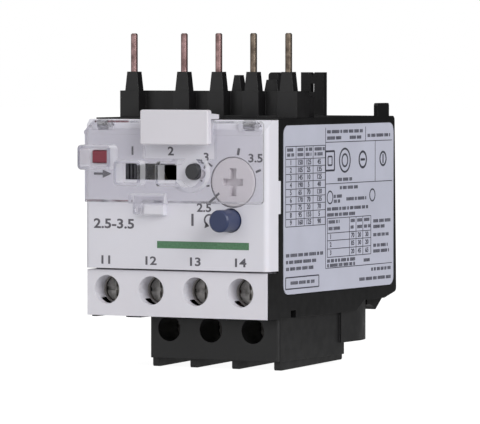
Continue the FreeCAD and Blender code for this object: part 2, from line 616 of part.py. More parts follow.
def lower_terminal_block():
    """Return the block of the three power terminals, with fins between the wires and its rear extension."""
    block = box(LOWER_LEFT, LOWER_RIGHT, LOWER_FRONT, LOWER_REAR, LOWER_BOTTOM, HOUSING_FOOT)
    block = block.makeFillet(LOWER_ROUND, edges_along(block, V(0, 0, 1), lambda m: m.y < LOWER_FRONT + 1))
    body = join([block, tail()] + [fin(left) for left in fin_places()])
    pockets = []
    for x in POWER_X:
        pockets.append(rod("y", x, POWER_Z, LOWER_FRONT - 1, POWER_HEAD_Y + 0.5, POWER_HOLE_D / 2))
        pockets.append(box(x - POWER_W / 2, x + POWER_W / 2, POWER_HEAD_Y - FIT, POWER_CAGE_END,
                           LOWER_BOTTOM - 3,
                           POWER_Z + POWER_W / 2))
        pockets.append(bar_slot(x, POWER_Z, HOUSING_FOOT + 1))
    hollow = box(LOWER_LEFT + WALL, LOWER_RIGHT - WALL, POWER_CAGE_END + WALL, LOWER_REAR - WALL,
                 LOWER_BOTTOM - 3,
                 HOUSING_FOOT - WALL)
    keep = [box(left, left + FIN_T, LOWER_FRONT, LOWER_REAR, LOWER_BOTTOM - 3,
                HOUSING_FOOT) for left in fin_places()]
    return cut(body, pockets + [cut(hollow, keep)])


def front_panel():
    """Return the white cap over the front, with its windows, its side lugs and the catch of the cover."""
    cap = box(-HALF, HALF, 0, PANEL_DEPTH, 0, PANEL_HEIGHT)
    upright = edges_along(cap, V(0, 0, 1), lambda m: m.y < 1)
    cap = cap.makeFillet(PANEL_EDGE, upright)
    slope = prism("x", [(-1, PANEL_HEIGHT - PANEL_TOP_CHAMFER - 1), (PANEL_TOP_CHAMFER + 1, PANEL_HEIGHT + 1),
                        (-1, PANEL_HEIGHT + 1)], -HALF - 1, HALF + 1)
    inside = box(-HALF + THIN, HALF - THIN, THIN, PANEL_DEPTH + 1, THIN, PANEL_HEIGHT - THIN - 1)
    cap = cut(cap, [slope, inside])
    lugs = [box(HALF - THIN, HALF, PANEL_DEPTH - 1, PANEL_DEPTH + SIDE_LUG[0], SIDE_LUG[1], SIDE_LUG[2])]
    left, right, front, height = CATCH
    catch = box(left, right, front, 0.5, CATCH_TOP - height, CATCH_TOP)
    catch = catch.makeChamfer(0.3, edges_along(catch, V(1, 0, 0), lambda m: m.y < 0))
    cheeks = []
    for side in (-1, 1):
        for step in (-1, 1):
            x = side * HINGE_X + step * (BARREL_L / 2 + SLIP + CHEEK_T / 2)
            cheek = box(x - CHEEK_T / 2, x + CHEEK_T / 2, LENS_BACK + 2 * SLIP, 1.5 * THIN, HINGE_Z - 1.3,
                        HINGE_Z + 0.6)
            cheeks.append(cheek.makeChamfer(0.3,
                                            edges_along(cheek, V(1, 0, 0),
                                                        lambda m: m.y < 0 and m.z > HINGE_Z)))
    cap = join([cap, catch] + lugs + cheeks)
    holes = panel_windows(-1, THIN + 1)
    holes.append(rod("y", DIAL_X, DIAL_Z, -1, THIN + 1, DIAL_D / 2 + SLIP))
    holes.append(rod("y", RESET_X, RESET_Z, -1, THIN + 1, RESET_D / 2 + 2 * SLIP))
    holes.append(rod("y", INDICATOR_X, INDICATOR_Z, -1, THIN + 1, INDICATOR_D / 2 + SLIP))
    for side in (-1, 1):
        x = side * HINGE_X
        holes.append(box(x - BARREL_L / 2 - SLIP, x + BARREL_L / 2 + SLIP, -1, HINGE_Y + BARREL_D / 2 + 0.3,
                         HINGE_Z - BARREL_D / 2 - 0.3, PANEL_HEIGHT + 1))
        holes.append(rod("x", HINGE_Y, HINGE_Z, x - HINGE_PIN_L / 2, x + HINGE_PIN_L / 2, HINGE_PIN_D / 2))
    return cut(cap, holes)


def terminal_strip():
    """Return the white strip with the four screwdriver holes of the auxiliary terminals."""
    plate = box(STRIP_LEFT, STRIP_RIGHT, STRIP_FRONT, STRIP_FRONT + STRIP_PLATE, HOUSING_FOOT, STRIP_TOP)
    roof = box(STRIP_LEFT, STRIP_RIGHT, STRIP_FRONT, PANEL_DEPTH, STRIP_TOP - 1.2, STRIP_TOP)
    end = box(STRIP_LEFT, STRIP_LEFT + 1.4, STRIP_FRONT, PANEL_DEPTH, HOUSING_FOOT, STRIP_TOP)
    tubes = [rod("y", x, AUX_Z, STRIP_FRONT, AUX_TUBE_END, AUX_HOLE_D / 2 + AUX_TUBE_WALL) for x in AUX_X]
    clear = box(STRIP_LEFT - 1, STRIP_RIGHT + 1, STRIP_FRONT + STRIP_PLATE, AUX_TUBE_END + 1,
                HOUSING_FOOT - 1,
                AUX_Z - AUX_HOLE_D / 2 + 1.2)
    body = join([plate, roof] + [cut(tube, [clear]) for tube in tubes])
    body = join([body, end])
    ribs = [box(x - 2.2, x + 2.2, STRIP_FRONT + STRIP_PLATE, PANEL_DEPTH + 3, HOUSING_FOOT - 1,
                HOUSING_FOOT + 1.2)
            for x in terminal_rib_places()]
    holes = [rod("y", x, AUX_Z, STRIP_FRONT - 1, AUX_TUBE_END + 1, AUX_HOLE_D / 2) for x in AUX_X]
    return cut(body, holes + ribs)


# ---------------------------------------------------------------- transparent cover and marker
def raised_frame(frame, front):
    """Return a rectangular frame that stands out of the transparent cover, and its opening."""
    left, right, low, high = frame
    block = box(left, right, front, LENS_BACK, low, high)
    block = block.makeFillet(0.9, edges_along(block, V(0, 1, 0), lambda m: True))
    block = block.makeChamfer(0.25, [e for e in block.Edges if e.CenterOfMass.y < front + 0.01])
    hole = box(left + LENS_WALL, right - LENS_WALL, front - 1, 1, low + LENS_WALL, high - LENS_WALL)
    hole = hole.makeFillet(0.4, edges_along(hole, V(0, 1, 0), lambda m: True))
    return block, hole


def grip():
    """Return the raised lower edge by which the transparent cover is lifted."""
    left, right = GRIP
    lip = box(left, right, GRIP_FRONT, LENS_BACK, LENS_BOTTOM - FIT, LENS_BOTTOM + GRIP_H)
    lip = lip.makeChamfer(0.5,
                          edges_along(lip, V(1, 0, 0), lambda m: m.y < LENS_BACK - 0.1 and m.z > LENS_BOTTOM))
    hollow = box(left + LENS_WALL, right - LENS_WALL, GRIP_FRONT + LENS_WALL, LENS_BACK + 1, LENS_BOTTOM - 1,
                 LENS_BOTTOM + GRIP_H - LENS_WALL)
    return cut(lip, [hollow])


def seal_tab():
    """Return the tab below the cover's edge, with the hole for a sealing wire."""
    left, right, length = SEAL_TAB
    tab = box(left, right, LENS_FRONT, LENS_BACK, LENS_BOTTOM - length, LENS_BOTTOM + 0.5)
    tab = tab.makeFillet(0.5, edges_along(tab, V(0, 1, 0), lambda m: m.z < LENS_BOTTOM))
    hole = rod("y", (left + right) / 2, LENS_BOTTOM - length / 2 - 0.3, LENS_FRONT - 1, LENS_BACK + 1, 0.45)
    return cut(tab, [hole])


def transparent_cover():
    """Return the clear cover that swings up over the settings, with its frames, barrels and sealing tongue."""
    back, front = LENS_BACK, LENS_FRONT
    corners = [(LENS_LEFT, LENS_BOTTOM), (LENS_RIGHT, LENS_BOTTOM), (LENS_RIGHT, LENS_TOP),
               (LENS_LEFT + LENS_CORNER, LENS_TOP), (LENS_LEFT, LENS_TOP - LENS_CORNER)]
    plate = prism("y", corners, front, back)
    band = prism("y", [(LENS_LEFT, LENS_BAND_Z), (LENS_RIGHT, LENS_BAND_Z), (LENS_RIGHT, LENS_TOP),
                       (LENS_LEFT + LENS_CORNER, LENS_TOP), (LENS_LEFT, LENS_TOP - LENS_CORNER)],
                 front - LENS_BAND_T, front)
    plate = join([plate, band])
    plate = plate.makeFillet(0.9, edges_along(plate, V(0, 1, 0), lambda m: m.x > LENS_RIGHT - 0.1))
    rear_top = edges_along(plate, V(1, 0, 0), lambda m: m.z > LENS_TOP - 0.1 and m.y > back - 0.1)
    plate = plate.makeChamfer(0.5, rear_top)
    frames = [raised_frame(TEST_FRAME, TEST_FRAME_FRONT), raised_frame(HAND_FRAME, HAND_FRAME_FRONT),
              raised_frame(AUTO_FRAME, AUTO_FRAME_FRONT)]
    ring = rod("y", INDICATOR_X, INDICATOR_Z, AUTO_FRAME_FRONT, back, RING_D / 2)
    arms = []
    for side in (-1, 1):
        x = side * HINGE_X
        arm = box(x - BARREL_L / 2, x + BARREL_L / 2, front, HINGE_Y, HINGE_Z - 0.7, HINGE_Z + 0.7)
        arms += [rod("x", HINGE_Y, HINGE_Z, x - BARREL_L / 2, x + BARREL_L / 2, BARREL_D / 2), arm]
    body = join([plate, ring, grip(), seal_tab()] + [block for block, hole in frames] + arms)
    notch = box(TAG[0] - TAG_GAP, TAG[1] + TAG_GAP, front - 5, back + 1, TAG[2] - 3.0, LENS_TOP + 2)
    holes = [hole for block, hole in frames]
    holes.append(rod("y", INDICATOR_X, INDICATOR_Z, AUTO_FRAME_FRONT - 1, back + 1, RING_D / 2 - RING_WALL))
    for side in (-1, 1):
        holes.append(rod("x", HINGE_Y, HINGE_Z, side * HINGE_X - BARREL_L, side * HINGE_X + BARREL_L,
                         HINGE_PIN_D / 2 + RUN))
    return cut(body, holes + [notch])


def cover_pivot_pins():
    """Return the two short pins on which the transparent cover swings."""
    pins = [rod("x", HINGE_Y, HINGE_Z, side * HINGE_X - HINGE_PIN_L / 2, side * HINGE_X + HINGE_PIN_L / 2,
                HINGE_PIN_D / 2) for side in (-1, 1)]
    return Part.makeCompound(pins)


def marker_tag():
    """Return the white marker: a plate in front of the cover, with a rim behind it and a hook over the panel."""
    left, right, low, high = TAG
    rear = TAG_FRONT + TAG_PLATE
    plate = box(left, right, TAG_FRONT, rear, low, high)
    plate = plate.makeFillet(0.5, edges_along(plate, V(0, 1, 0), lambda m: True))
    plate = plate.makeChamfer(0.2, [e for e in plate.Edges if e.CenterOfMass.y < TAG_FRONT + 0.01])
    edge, wall = TAG_INSET, TAG_INSET + TAG_T
    rim = box(left + edge, right - edge, rear - 0.1, -FIT, low + edge, high)
    hollow = box(left + wall, right - wall, rear, 1, low + wall, high - TAG_T)
    shelf = PANEL_HEIGHT + FIT
    hook = prism("x", [(rear - 0.1, shelf), (TAG_HOOK, shelf), (TAG_HOOK, shelf + 1.0),
                       (rear - 0.1, shelf + 1.4)],
                 left + edge, right - edge)
    return join([plate, cut(rim, [hollow]), hook])


# ---------------------------------------------------------------- controls
def adjustment_dial():
    """Return the setting dial with its screwdriver cross and its shaft."""
    disc = rod("y", DIAL_X, DIAL_Z, DIAL_FRONT, DIAL_FRONT + DIAL_DISC_T, DIAL_D / 2)
    disc = disc.makeChamfer(0.25, [e for e in disc.Edges if e.Curve.TypeId == "Part::GeomCircle"
                                   and e.CenterOfMass.y < DIAL_FRONT + 0.01])
    shaft = rod("y", DIAL_X, DIAL_Z, DIAL_FRONT + 1, DIAL_SHAFT_END, DIAL_SHAFT_D / 2)
    tall, wide, bar = CROSS
    floor = DIAL_FRONT + CROSS_DEPTH
    slots = [box(DIAL_X - bar / 2, DIAL_X + bar / 2, DIAL_FRONT - 1, floor, DIAL_Z - tall / 2,
                 DIAL_Z + tall / 2),
             box(DIAL_X - wide / 2, DIAL_X + wide / 2, DIAL_FRONT - 1, floor, DIAL_Z - bar / 2,
                 DIAL_Z + bar / 2)]
    return cut(join([disc, shaft]), slots + [shaft_flat(CAM_FRONT)])


def cam_radius(share):
    """Return the cam's radius after a share, from 0 to 1, of the dial's turn."""
    return CAM_R + CAM_LIFT * share


def cam_point(degrees, radius):
    """Return a point of the cam's edge, by its angle and radius."""
    turn = math.radians(degrees)
    return V(DIAL_X + radius * math.cos(turn), CAM_FRONT, DIAL_Z + radius * math.sin(turn))


def dial_cam():
    """Return the spiral cam on the dial's shaft, whose radius grows evenly over the dial's turn."""
    lead_angle = 12.0
    sweep_angle = DIAL_TURN + 2 * lead_angle
    rise = []
    for k in range(13):
        turned = sweep_angle * k / 12
        rise.append(cam_point(180.0 - lead_angle + turned, cam_radius((turned - lead_angle) / DIAL_TURN)))
    edges = [Part.Arc(*rise[k:k + 3]).toShape() for k in range(0, 12, 2)]
    back = cam_point(180.0 - lead_angle - (360.0 - sweep_angle) / 2, CAM_R)
    edges.append(Part.Arc(rise[-1], back, rise[0]).toShape())
    cam = Part.Face(Part.Wire(edges)).extrude(V(0, CAM_T, 0))
    bore = rod("y", DIAL_X, DIAL_Z, CAM_FRONT - 1, CAM_FRONT + CAM_T + 1, DIAL_SHAFT_D / 2)
    return cut(cam, [cut(bore, [shaft_flat(CAM_FRONT - 1)])])


def shaft_flat(front):
    """Return the cutter of the flat on the dial's shaft that the cam is keyed to."""
    low = DIAL_Z + DIAL_SHAFT_D / 2 - DIAL_FLAT
    return box(DIAL_X - DIAL_SHAFT_D, DIAL_X + DIAL_SHAFT_D, front, DIAL_SHAFT_END + 1, low, low + 2)


def adjusting_link():
    """Return the link that the cam shifts, which carries the pivot of the trip lever."""
    px, py = LEVER_PIVOT
    finger_x = DIAL_X - CAM_R - PUSH_GAP
    top = LINK_Z + LINK_T
    front_leg = box(px - 1.6, finger_x, CAM_FRONT + 0.1, CAM_FRONT + CAM_T, LINK_Z, top)
    side_leg = box(px - 1.6, px + 1.6, CAM_FRONT + 0.1, py + 2.0, LINK_Z, top)
    finger = box(finger_x - 1.3, finger_x, CAM_FRONT + 0.1, CAM_FRONT + CAM_T - 0.1, DIAL_Z - 0.4, top)
    finger = finger.makeFillet(0.35, edges_along(finger, V(0, 1, 0), lambda m: m.z < LINK_Z))
    stud = rod("z", px, py, UPPER_SLIDE_Z - 0.8, LINK_Z, 1.0)
    return join([front_leg, side_leg, finger, stud])


def reset_button():
    """Return the blue stop and reset button with its collar and stem."""
    cap = rod("y", RESET_X, RESET_Z, RESET_FRONT, THIN + SLIP, RESET_D / 2)
    cap = cap.makeChamfer(0.35, [e for e in cap.Edges if e.Curve.TypeId == "Part::GeomCircle"
                                 and e.CenterOfMass.y < RESET_FRONT + 0.01])
    collar = rod("y", RESET_X, RESET_Z, THIN + SLIP, THIN + SLIP + 0.9, RESET_FLANGE_D / 2)
    tip = 1.0
    stem = rod("y", RESET_X, RESET_Z, THIN, RESET_STEM_END - tip, RESET_STEM_D / 2)
    cone = Part.makeCone(RESET_STEM_D / 2, 0.6, tip, V(RESET_X, RESET_STEM_END - tip, RESET_Z), V(0, 1, 0))
    return join([cap, collar, stem, cone])


def reset_spring():
    """Return the spring that pushes the button back out."""
    start = THIN + SLIP + 0.9
    return coil(V(RESET_X, start, RESET_Z), V(0, 1, 0), CUP_END - CUP_FLOOR - start, 4.6, 0.5, 6)


def test_push_x():
    """Return the pushing face of the test lever, whose stroke ends just short of the trip lever at every setting."""
    return LEVER_PIVOT[0] - LEVER_W / 2 - CAM_LIFT - TEST_TRAVEL - SLIP


def test_lever():
    """Return the red lever of the test function, with the tail that reaches the trip lever."""
    x0, x1 = TEST_X
    z0, z1 = TEST_Z
    head = box(x0, x1, TEST_FRONT, THIN + SLIP, z0, z1)
    head = head.makeFillet(0.3, [e for e in head.Edges if e.CenterOfMass.y < TEST_FRONT + 0.01])
    guide = box(x0 - 2 * SLIP, x1, THIN + SLIP, THIN + SLIP + GUIDE_T, z0 - GUIDE_LIP, z1 + GUIDE_LIP)
    push_x = test_push_x()
    tail = box(push_x - 1.6, push_x, THIN + SLIP + 1, LEVER_PIVOT[1] - LEVER_FRONT_ARM + 0.5, z0 + 0.3,
               z1 - 0.3)
    return join([head, guide, tail])


def test_spring():
    """Return the small spring that draws the test lever back to the left."""
    push_x = test_push_x()
    middle = (TEST_Z[0] + TEST_Z[1]) / 2
    return coil(V(push_x, FRONT_WALL[1] + 1.2, middle), V(1, 0, 0), ANCHOR_X - push_x, 1.8, 0.35, 5)


def spring_anchor():
    """Return the post in the housing that the test spring rests against."""
    middle = (TEST_Z[0] + TEST_Z[1]) / 2
    return box(ANCHOR_X, ANCHOR_X + 1.2, PANEL_DEPTH, FRONT_WALL[1] + 2.4, middle - 1.0, middle + 1.0)


def mode_selector():
    """Return the black slider that chooses hand or automatic reset."""
    x0, x1 = SELECTOR_X
    z0, z1 = SELECTOR_Z
    knob = box(x0, x1, -0.1, THIN + SLIP, z0, z1)
    grooves = [box(x0 + 0.7 + 0.9 * k, x0 + 1.1 + 0.9 * k, -1, 0.4, z0 - 1, z1 + 1) for k in range(3)]
    guide = box(x0 - GUIDE_LIP, x1 + GUIDE_LIP, THIN + SLIP, THIN + SLIP + GUIDE_T, z0 - GUIDE_LIP,
                z1 + GUIDE_LIP)
    tail = box(x0 + 0.8, x1 - 0.8, THIN + SLIP + 1, FRONT_WALL[1] + 1.3, z0 + 0.6, z1 - 0.6)
    return join([cut(knob, grooves), guide, tail])


def trip_indicator():
    """Return the round stud that moves out when the relay has tripped."""
    stud = rod("y", INDICATOR_X, INDICATOR_Z, INDICATOR_FRONT, PANEL_DEPTH, INDICATOR_D / 2)
    stud = stud.makeChamfer(0.2, [e for e in stud.Edges if e.Curve.TypeId == "Part::GeomCircle"
                                  and e.CenterOfMass.y < INDICATOR_FRONT + 0.01])
    collar = rod("y", INDICATOR_X, INDICATOR_Z, THIN + SLIP + INDICATOR_TRAVEL, PANEL_DEPTH - SLIP,
                 INDICATOR_D / 2 + 0.8)
    end = ROCKER_FRONT - STEM_TIP_R / 2 - SLIP
    stem = rod("y", INDICATOR_X, INDICATOR_Z, PANEL_DEPTH - 0.5, end - 0.7, 1.1)
    tip = Part.makeCone(1.1, STEM_TIP_R, 0.7, V(INDICATOR_X, end - 0.7, INDICATOR_Z), V(0, 1, 0))
    return join([stud, collar, stem, tip])


# ---------------------------------------------------------------- trip mechanism
def trip_slide(low, left):
    """Return one trip slide: a bar with a window for each bimetal strip."""
    bar = box(left, SLIDE_RIGHT, SLIDE_FRONT, SLIDE_REAR, low, low + SLIDE_T)
    thick, width = BIMETAL
    windows = [box(x - thick / 2 - PUSH_GAP, x + thick / 2 + SLIDE_TRAVEL + 2 * PUSH_GAP,
                   STRIP_Y - width / 2 - SLIP,
                   STRIP_Y + width / 2 + SLIP, low - 1, low + SLIDE_T + 1) for x in POLES]
    return cut(bar, windows)


def trip_lever():
    """Return the compensating lever between the slides and the rocker."""
    px, py = LEVER_PIVOT
    low, high = UPPER_SLIDE_Z, UPPER_SLIDE_Z + SLIDE_T
    arm = box(px - LEVER_W / 2, px + LEVER_W / 2, py - LEVER_FRONT_ARM - 0.5, py + LEVER_REAR_ARM + 1.0, low,
              high)
    hub = rod("z", px, py, low, high, 2.0)
    pad = box(px, SLIDE_LEFT - PUSH_GAP, py + LEVER_REAR_ARM - 1.0, py + LEVER_REAR_ARM + 1.0, low, high)
    pad = pad.makeFillet(0.5, edges_along(pad, V(0, 0, 1), lambda m: m.x > px + 1))
    bore = rod("z", px, py, low - 1, high + 1, 1.0 + RUN)
    return cut(join([arm, hub, pad]), [bore])


def rocker_pin():
    """Return the fixed steel pin that the rocker turns on."""
    return rod("y", *ROCKER_PIVOT, PANEL_DEPTH + 0.8, ROCKER_FRONT + ROCKER_T + 0.8, 1.0)


def trip_rocker():
    """Return the snap rocker with its arms for the trip lever, the contacts and the reset stem."""
    px, pz = ROCKER_PIVOT
    back = ROCKER_FRONT + ROCKER_T
    face = LEVER_PIVOT[0] + LEVER_W / 2 + PUSH_GAP
    top = UPPER_SLIDE_Z + SLIDE_T + 0.5
    nose = UPPER_SLIDE_Z + SLIDE_T / 2
    upper = prism("y", [(px - 2.0, pz), (px + 1.2, pz + 1.6), (face + 2.2, top), (face + 0.7, top),
                        (face, nose),
                        (face + 0.5, nose - 2.2)], ROCKER_FRONT, back)
    arm_end = RESET_X + 2.0
    low = RESET_Z + RESET_STEM_D / 2 + 0.6
    right = prism("y", [(px - 1.6, pz - 1.2), (px - 1.6, pz + 1.2), (px + 6, pz + 1.2), (arm_end, low + 1.4),
                        (arm_end, low), (px + 6, pz - 1.2)], ROCKER_FRONT, back)
    hub = rod("y", px, pz, ROCKER_FRONT, back, 2.4)
    drive = rod("y", px + ROCKER_ARM, pz, CARRIER_FRONT, back, 0.8)
    bore = rod("y", px, pz, ROCKER_FRONT - 1, back + 1, 1.0 + RUN)
    return cut(join([upper, right, hub, drive, indicator_ramp()]), [bore])


def indicator_ramp():
    """Return the rocker's arm with the ramp that pushes the indicator out as it swings down past the stem."""
    px, pz = ROCKER_PIVOT
    reach = math.hypot(INDICATOR_X - px, INDICATOR_Z - pz)
    swing = carrier_travel() / ROCKER_ARM * reach
    back = ROCKER_FRONT + ROCKER_T
    foot = ROCKER_FRONT - STEM_TIP_R / 2 + RUN
    crest = foot - INDICATOR_TRAVEL - SLIP
    ramp = prism("x", [(foot, -1.2), (foot, STEM_TIP_R), (crest, swing + SLIP), (crest, swing + 1.2),
                       (back, swing + 1.2), (back, -1.2)], -1.3, 1.3)
    tilt = math.degrees(math.atan2(INDICATOR_Z - pz, INDICATOR_X - px))
    ramp.rotate(V(0, 0, 0), V(0, 1, 0), -tilt)
    ramp.translate(V(INDICATOR_X, 0, INDICATOR_Z))
    arm = box(0, reach, ROCKER_FRONT, back, -1.1, 1.1)
    arm.rotate(V(0, 0, 0), V(0, 1, 0), -tilt)
    arm.translate(V(px, 0, pz))
    return join([ramp, arm])


def carrier_travel():
    """Return how far the contact carrier moves down when the relay trips."""
    return lever_front_travel() * ROCKER_ARM / (UPPER_SLIDE_Z + SLIDE_T / 2 - ROCKER_PIVOT[1])


def bridge_levels():
    """Return the underside of the closing bridge and of the opening bridge at rest."""
    closing = NO_LEVEL + 2 * TIP_H + carrier_travel() + RUN
    opening = NC_LEVEL - 2 * TIP_H - RUN - BRIDGE_T
    return closing, opening


def contact_carrier():
    """Return the upright slide that carries both moving contact bridges."""
    x = ROCKER_PIVOT[0] + ROCKER_ARM
    z = ROCKER_PIVOT[1]
    closing, opening = bridge_levels()
    body = box(x - CARRIER_W / 2, x + CARRIER_W / 2, CARRIER_FRONT, CARRIER_FRONT + CARRIER_T, closing - 1.0,
               z + 2.2)
    slot = box(x - 1.2, x + 1.2, CARRIER_FRONT - 1, CARRIER_FRONT + CARRIER_T + 1, z - 0.8 - SLIP,
               z + 0.8 + SLIP)
    mid = CARRIER_FRONT + CARRIER_T / 2
    spring = box(x - 0.95, x + 0.95, CARRIER_FRONT - 1, CARRIER_FRONT + CARRIER_T + 1, closing + BRIDGE_T,
                 opening)
    ways = [box(x - CARRIER_W, x + CARRIER_W, mid - 0.45, mid + 0.45, level,
                level + BRIDGE_T) for level in (closing, opening)]
    return cut(body, [slot, spring] + ways)


def contact_bridge(level, tips_up):
    """Return one moving bridge with a contact tip at each end."""
    mid = CARRIER_FRONT + CARRIER_T / 2
    left, right = BRIDGE
    bar = box(left, right, mid - 0.45, mid + 0.45, level, level + BRIDGE_T)
    z = level + BRIDGE_T if tips_up else level - TIP_H
    tips = [rod("z", x, mid, z, z + TIP_H, TIP_R) for x in (left + 1.0, right - 1.0)]
    return join([bar] + tips)


def contact_spring():
    """Return the spring between the two bridges inside the carrier."""
    closing, opening = bridge_levels()
    x = ROCKER_PIVOT[0] + ROCKER_ARM
    return coil(V(x, CARRIER_FRONT + CARRIER_T / 2, closing + BRIDGE_T), V(0, 0, 1),
                opening - closing - BRIDGE_T, 1.3, 0.3, 4)


# ---------------------------------------------------------------- auxiliary terminals
def screw(x, z, head_y, head_d, head_h, shank_d, end_y):
    """Return a cross-slotted terminal screw that faces the front."""
    head = rod("y", x, z, head_y, head_y + head_h, head_d / 2)
    shank = rod("y", x, z, head_y + head_h, end_y, shank_d / 2)
    slots = [box(x - head_d / 2 - 1, x + head_d / 2 + 1, head_y - 1, head_y + 0.45, z - 0.4, z + 0.4),
             box(x - 0.4, x + 0.4, head_y - 1, head_y + 0.6, z - head_d / 3, z + head_d / 3)]
    return cut(join([head, shank]), slots)


def saddle(x, z, front, thick, hole_d):
    """Return the square clamp washer under a screw head, with its two turned edges."""
    half, lip = SADDLE_W / 2, 0.6
    plate = box(x - half, x + half, front, front + thick, z - half, z + half)
    lips = [box(left, left + lip, front, front + thick + 0.5, z - half, z + half)
            for left in (x - half, x + half - lip)]
    return cut(join([plate] + lips), [rod("y", x, z, front - 1, front + thick + 2, hole_d / 2 + RUN)])


def aux_screw(k):
    """Return one screw of the auxiliary terminals."""
    return screw(AUX_X[k], AUX_Z, AUX_HEAD_Y, AUX_HEAD_D, AUX_HEAD_H, AUX_SHANK_D,
                 AUX_PLATE_Y + AUX_PLATE_T + 0.8)


def aux_saddles():
    """Return the four clamp washers of the auxiliary terminals."""
    front = AUX_HEAD_Y + AUX_HEAD_H
    return Part.makeCompound([saddle(x, AUX_Z, front, AUX_SADDLE_T, AUX_SHANK_D) for x in AUX_X])


def terminal_plate(x, top):
    """Return the plate that an auxiliary screw is threaded into, up to a height."""
    return box(x - 2.8, x + 2.8, AUX_PLATE_Y, AUX_PLATE_Y + AUX_PLATE_T, AUX_Z - 2.9, top)


def fixed_tip(x, level, facing):
    """Return the shelf of a fixed contact with its tip; facing is 1 for up and -1 for down."""
    back = CARRIER_FRONT + CARRIER_T
    mid = CARRIER_FRONT + CARRIER_T / 2
    low = level - AUX_PLATE_T if facing > 0 else level
    shelf = box(x - 1.3, x + 1.3, AUX_PLATE_Y, back, low, low + AUX_PLATE_T)
    z = level if facing > 0 else level - TIP_H
    return join([shelf, rod("z", x, mid, z, z + TIP_H, TIP_R)])


def threaded(shape, x):
    """Cut the hole of an auxiliary screw into a terminal plate."""
    return cut(shape, [rod("y", x, AUX_Z, AUX_PLATE_Y - 1, AUX_PLATE_Y + 3, AUX_SHANK_D / 2 + RUN)])


def no_fixed_contact(k):
    """Return a fixed contact of the pair that closes on tripping, 0 on the left and 1 on the right."""
    x = AUX_X[0] if k == 0 else AUX_X[2]
    tip_x = BRIDGE[k] + (1.0 if k == 0 else -1.0)
    tip = fixed_tip(tip_x, NO_LEVEL, 1)
    shelf = NO_LEVEL - AUX_PLATE_T
    if k == 1:
        plate = terminal_plate(x, shelf)
        neck = box(tip_x - 1.3, x + 2.8, AUX_PLATE_Y, AUX_PLATE_Y + AUX_PLATE_T, AUX_Z + 2, NO_LEVEL)
        return threaded(join([plate, neck, tip]), x)
    back = CARRIER_FRONT + CARRIER_T
    plate = terminal_plate(x, AUX_Z + 3.4)
    step = box(x - 2.0, x + 2.0, AUX_PLATE_Y, back + AUX_PLATE_T, AUX_Z + 3.4 - AUX_PLATE_T, AUX_Z + 3.4)
    riser = box(x - 2.0, x + 2.0, back, back + AUX_PLATE_T, AUX_Z + 3.4 - AUX_PLATE_T, NO_LEVEL)
    run = box(x - 2.0, tip_x + 1.3, back, back + AUX_PLATE_T, NO_LEVEL - 1.9, NO_LEVEL)
    tip = join([tip, box(tip_x - 1.3, tip_x + 1.3, back - 0.2, back + AUX_PLATE_T, shelf, NO_LEVEL)])
    return threaded(join([plate, step, riser, run, tip]), x)


def nc_fixed_contact(k):
    """Return a fixed contact of the pair that opens on tripping, 0 on the left and 1 on the right."""
    x = AUX_X[1] if k == 0 else AUX_X[3]
    tip_x = BRIDGE[k] + (1.0 if k == 0 else -1.0)
    tip = fixed_tip(tip_x, NC_LEVEL, -1)
    plate = terminal_plate(x, AUX_Z + 3.4)
    top = NC_LEVEL + AUX_PLATE_T
    y0, y1 = AUX_PLATE_Y, AUX_PLATE_Y + AUX_PLATE_T
    if k == 0:
        leg = box(x - 1.2, x + 1.2, y0, y1, AUX_Z, top)
        arm = box(x - 1.2, tip_x + 1.3, y0, y1, NC_LEVEL, top)
        return threaded(join([plate, leg, arm, tip]), x)
    low, high = 3.9, 5.9
    leg = box(x - 1.2, x + 1.2, y0, y1, AUX_Z, high)
    arm = box(tip_x + 0.1, x + 1.2, y0, y1, low, high)
    riser = box(tip_x + 0.1, tip_x + 1.3, y0, y1, low, top)
    return threaded(join([plate, leg, arm, riser, tip]), x)


# ---------------------------------------------------------------- main circuit
def plug_pin(x, bottom):
    """Return a round plug pin with a chamfered tip."""
    pin = rod("z", x, PIN_Y, BOSS_TOP, PIN_TOP, PIN_D / 2)
    pin = pin.makeChamfer(PIN_CHAMFER, [e for e in pin.Edges if e.Curve.TypeId == "Part::GeomCircle"
                                        and e.CenterOfMass.z > PIN_TOP - 0.01])
    return join([pin, pin_shank(x, bottom, BOSS_TOP)])


def pole_links():
    """Return the straps from the pole pins back to the heaters."""
    links = []
    front = STRIP_Y - BIMETAL[1] / 2 - SLEEVE_T
    for x in POLES:
        strap = box(x - 1.4, x + 1.4, PIN_Y - 1.4, front - SLIP, LINK_STRAP_Z, LINK_STRAP_Z + 0.8)
        links.append(cut(strap, [pin_shank(x, 0, HOUSING_TOP)]))
    return Part.makeCompound(links)


def bimetal(k):
    """Return one bimetal strip."""
    thick, width = BIMETAL
    x = POLES[k]
    strip = box(x - thick / 2, x + thick / 2, STRIP_Y - width / 2, STRIP_Y + width / 2, BIMETAL_FOOT,
                BIMETAL_TOP)
    tip = edges_along(strip, V(1, 0, 0), lambda m: m.z > BIMETAL_TOP - 1)
    return strip.makeChamfer(0.8, tip)


def ring_outline(x, grow, low, high):
    """Return a block with bevelled edges round a bimetal strip, larger than it by grow on every side."""
    thick, width = BIMETAL
    block = box(x - thick / 2 - grow, x + thick / 2 + grow, STRIP_Y - width / 2 - grow,
                STRIP_Y + width / 2 + grow,
                low, high)
    return block.makeChamfer(grow * 0.6, edges_along(block, V(0, 0, 1), lambda m: True))


def insulation_sleeves():
    """Return the insulating sleeves between the bimetal strips and their heaters."""
    thick, width = BIMETAL
    sleeves = []
    for x in POLES:
        outer = ring_outline(x, SLEEVE_T, HEATER_FOOT - 1.0, LINK_STRAP_Z + 0.6)
        inner = box(x - thick / 2, x + thick / 2, STRIP_Y - width / 2, STRIP_Y + width / 2, HEATER_FOOT - 2,
                    LINK_STRAP_Z + 2)
        sleeves.append(cut(outer, [inner]))
    return Part.makeCompound(sleeves)


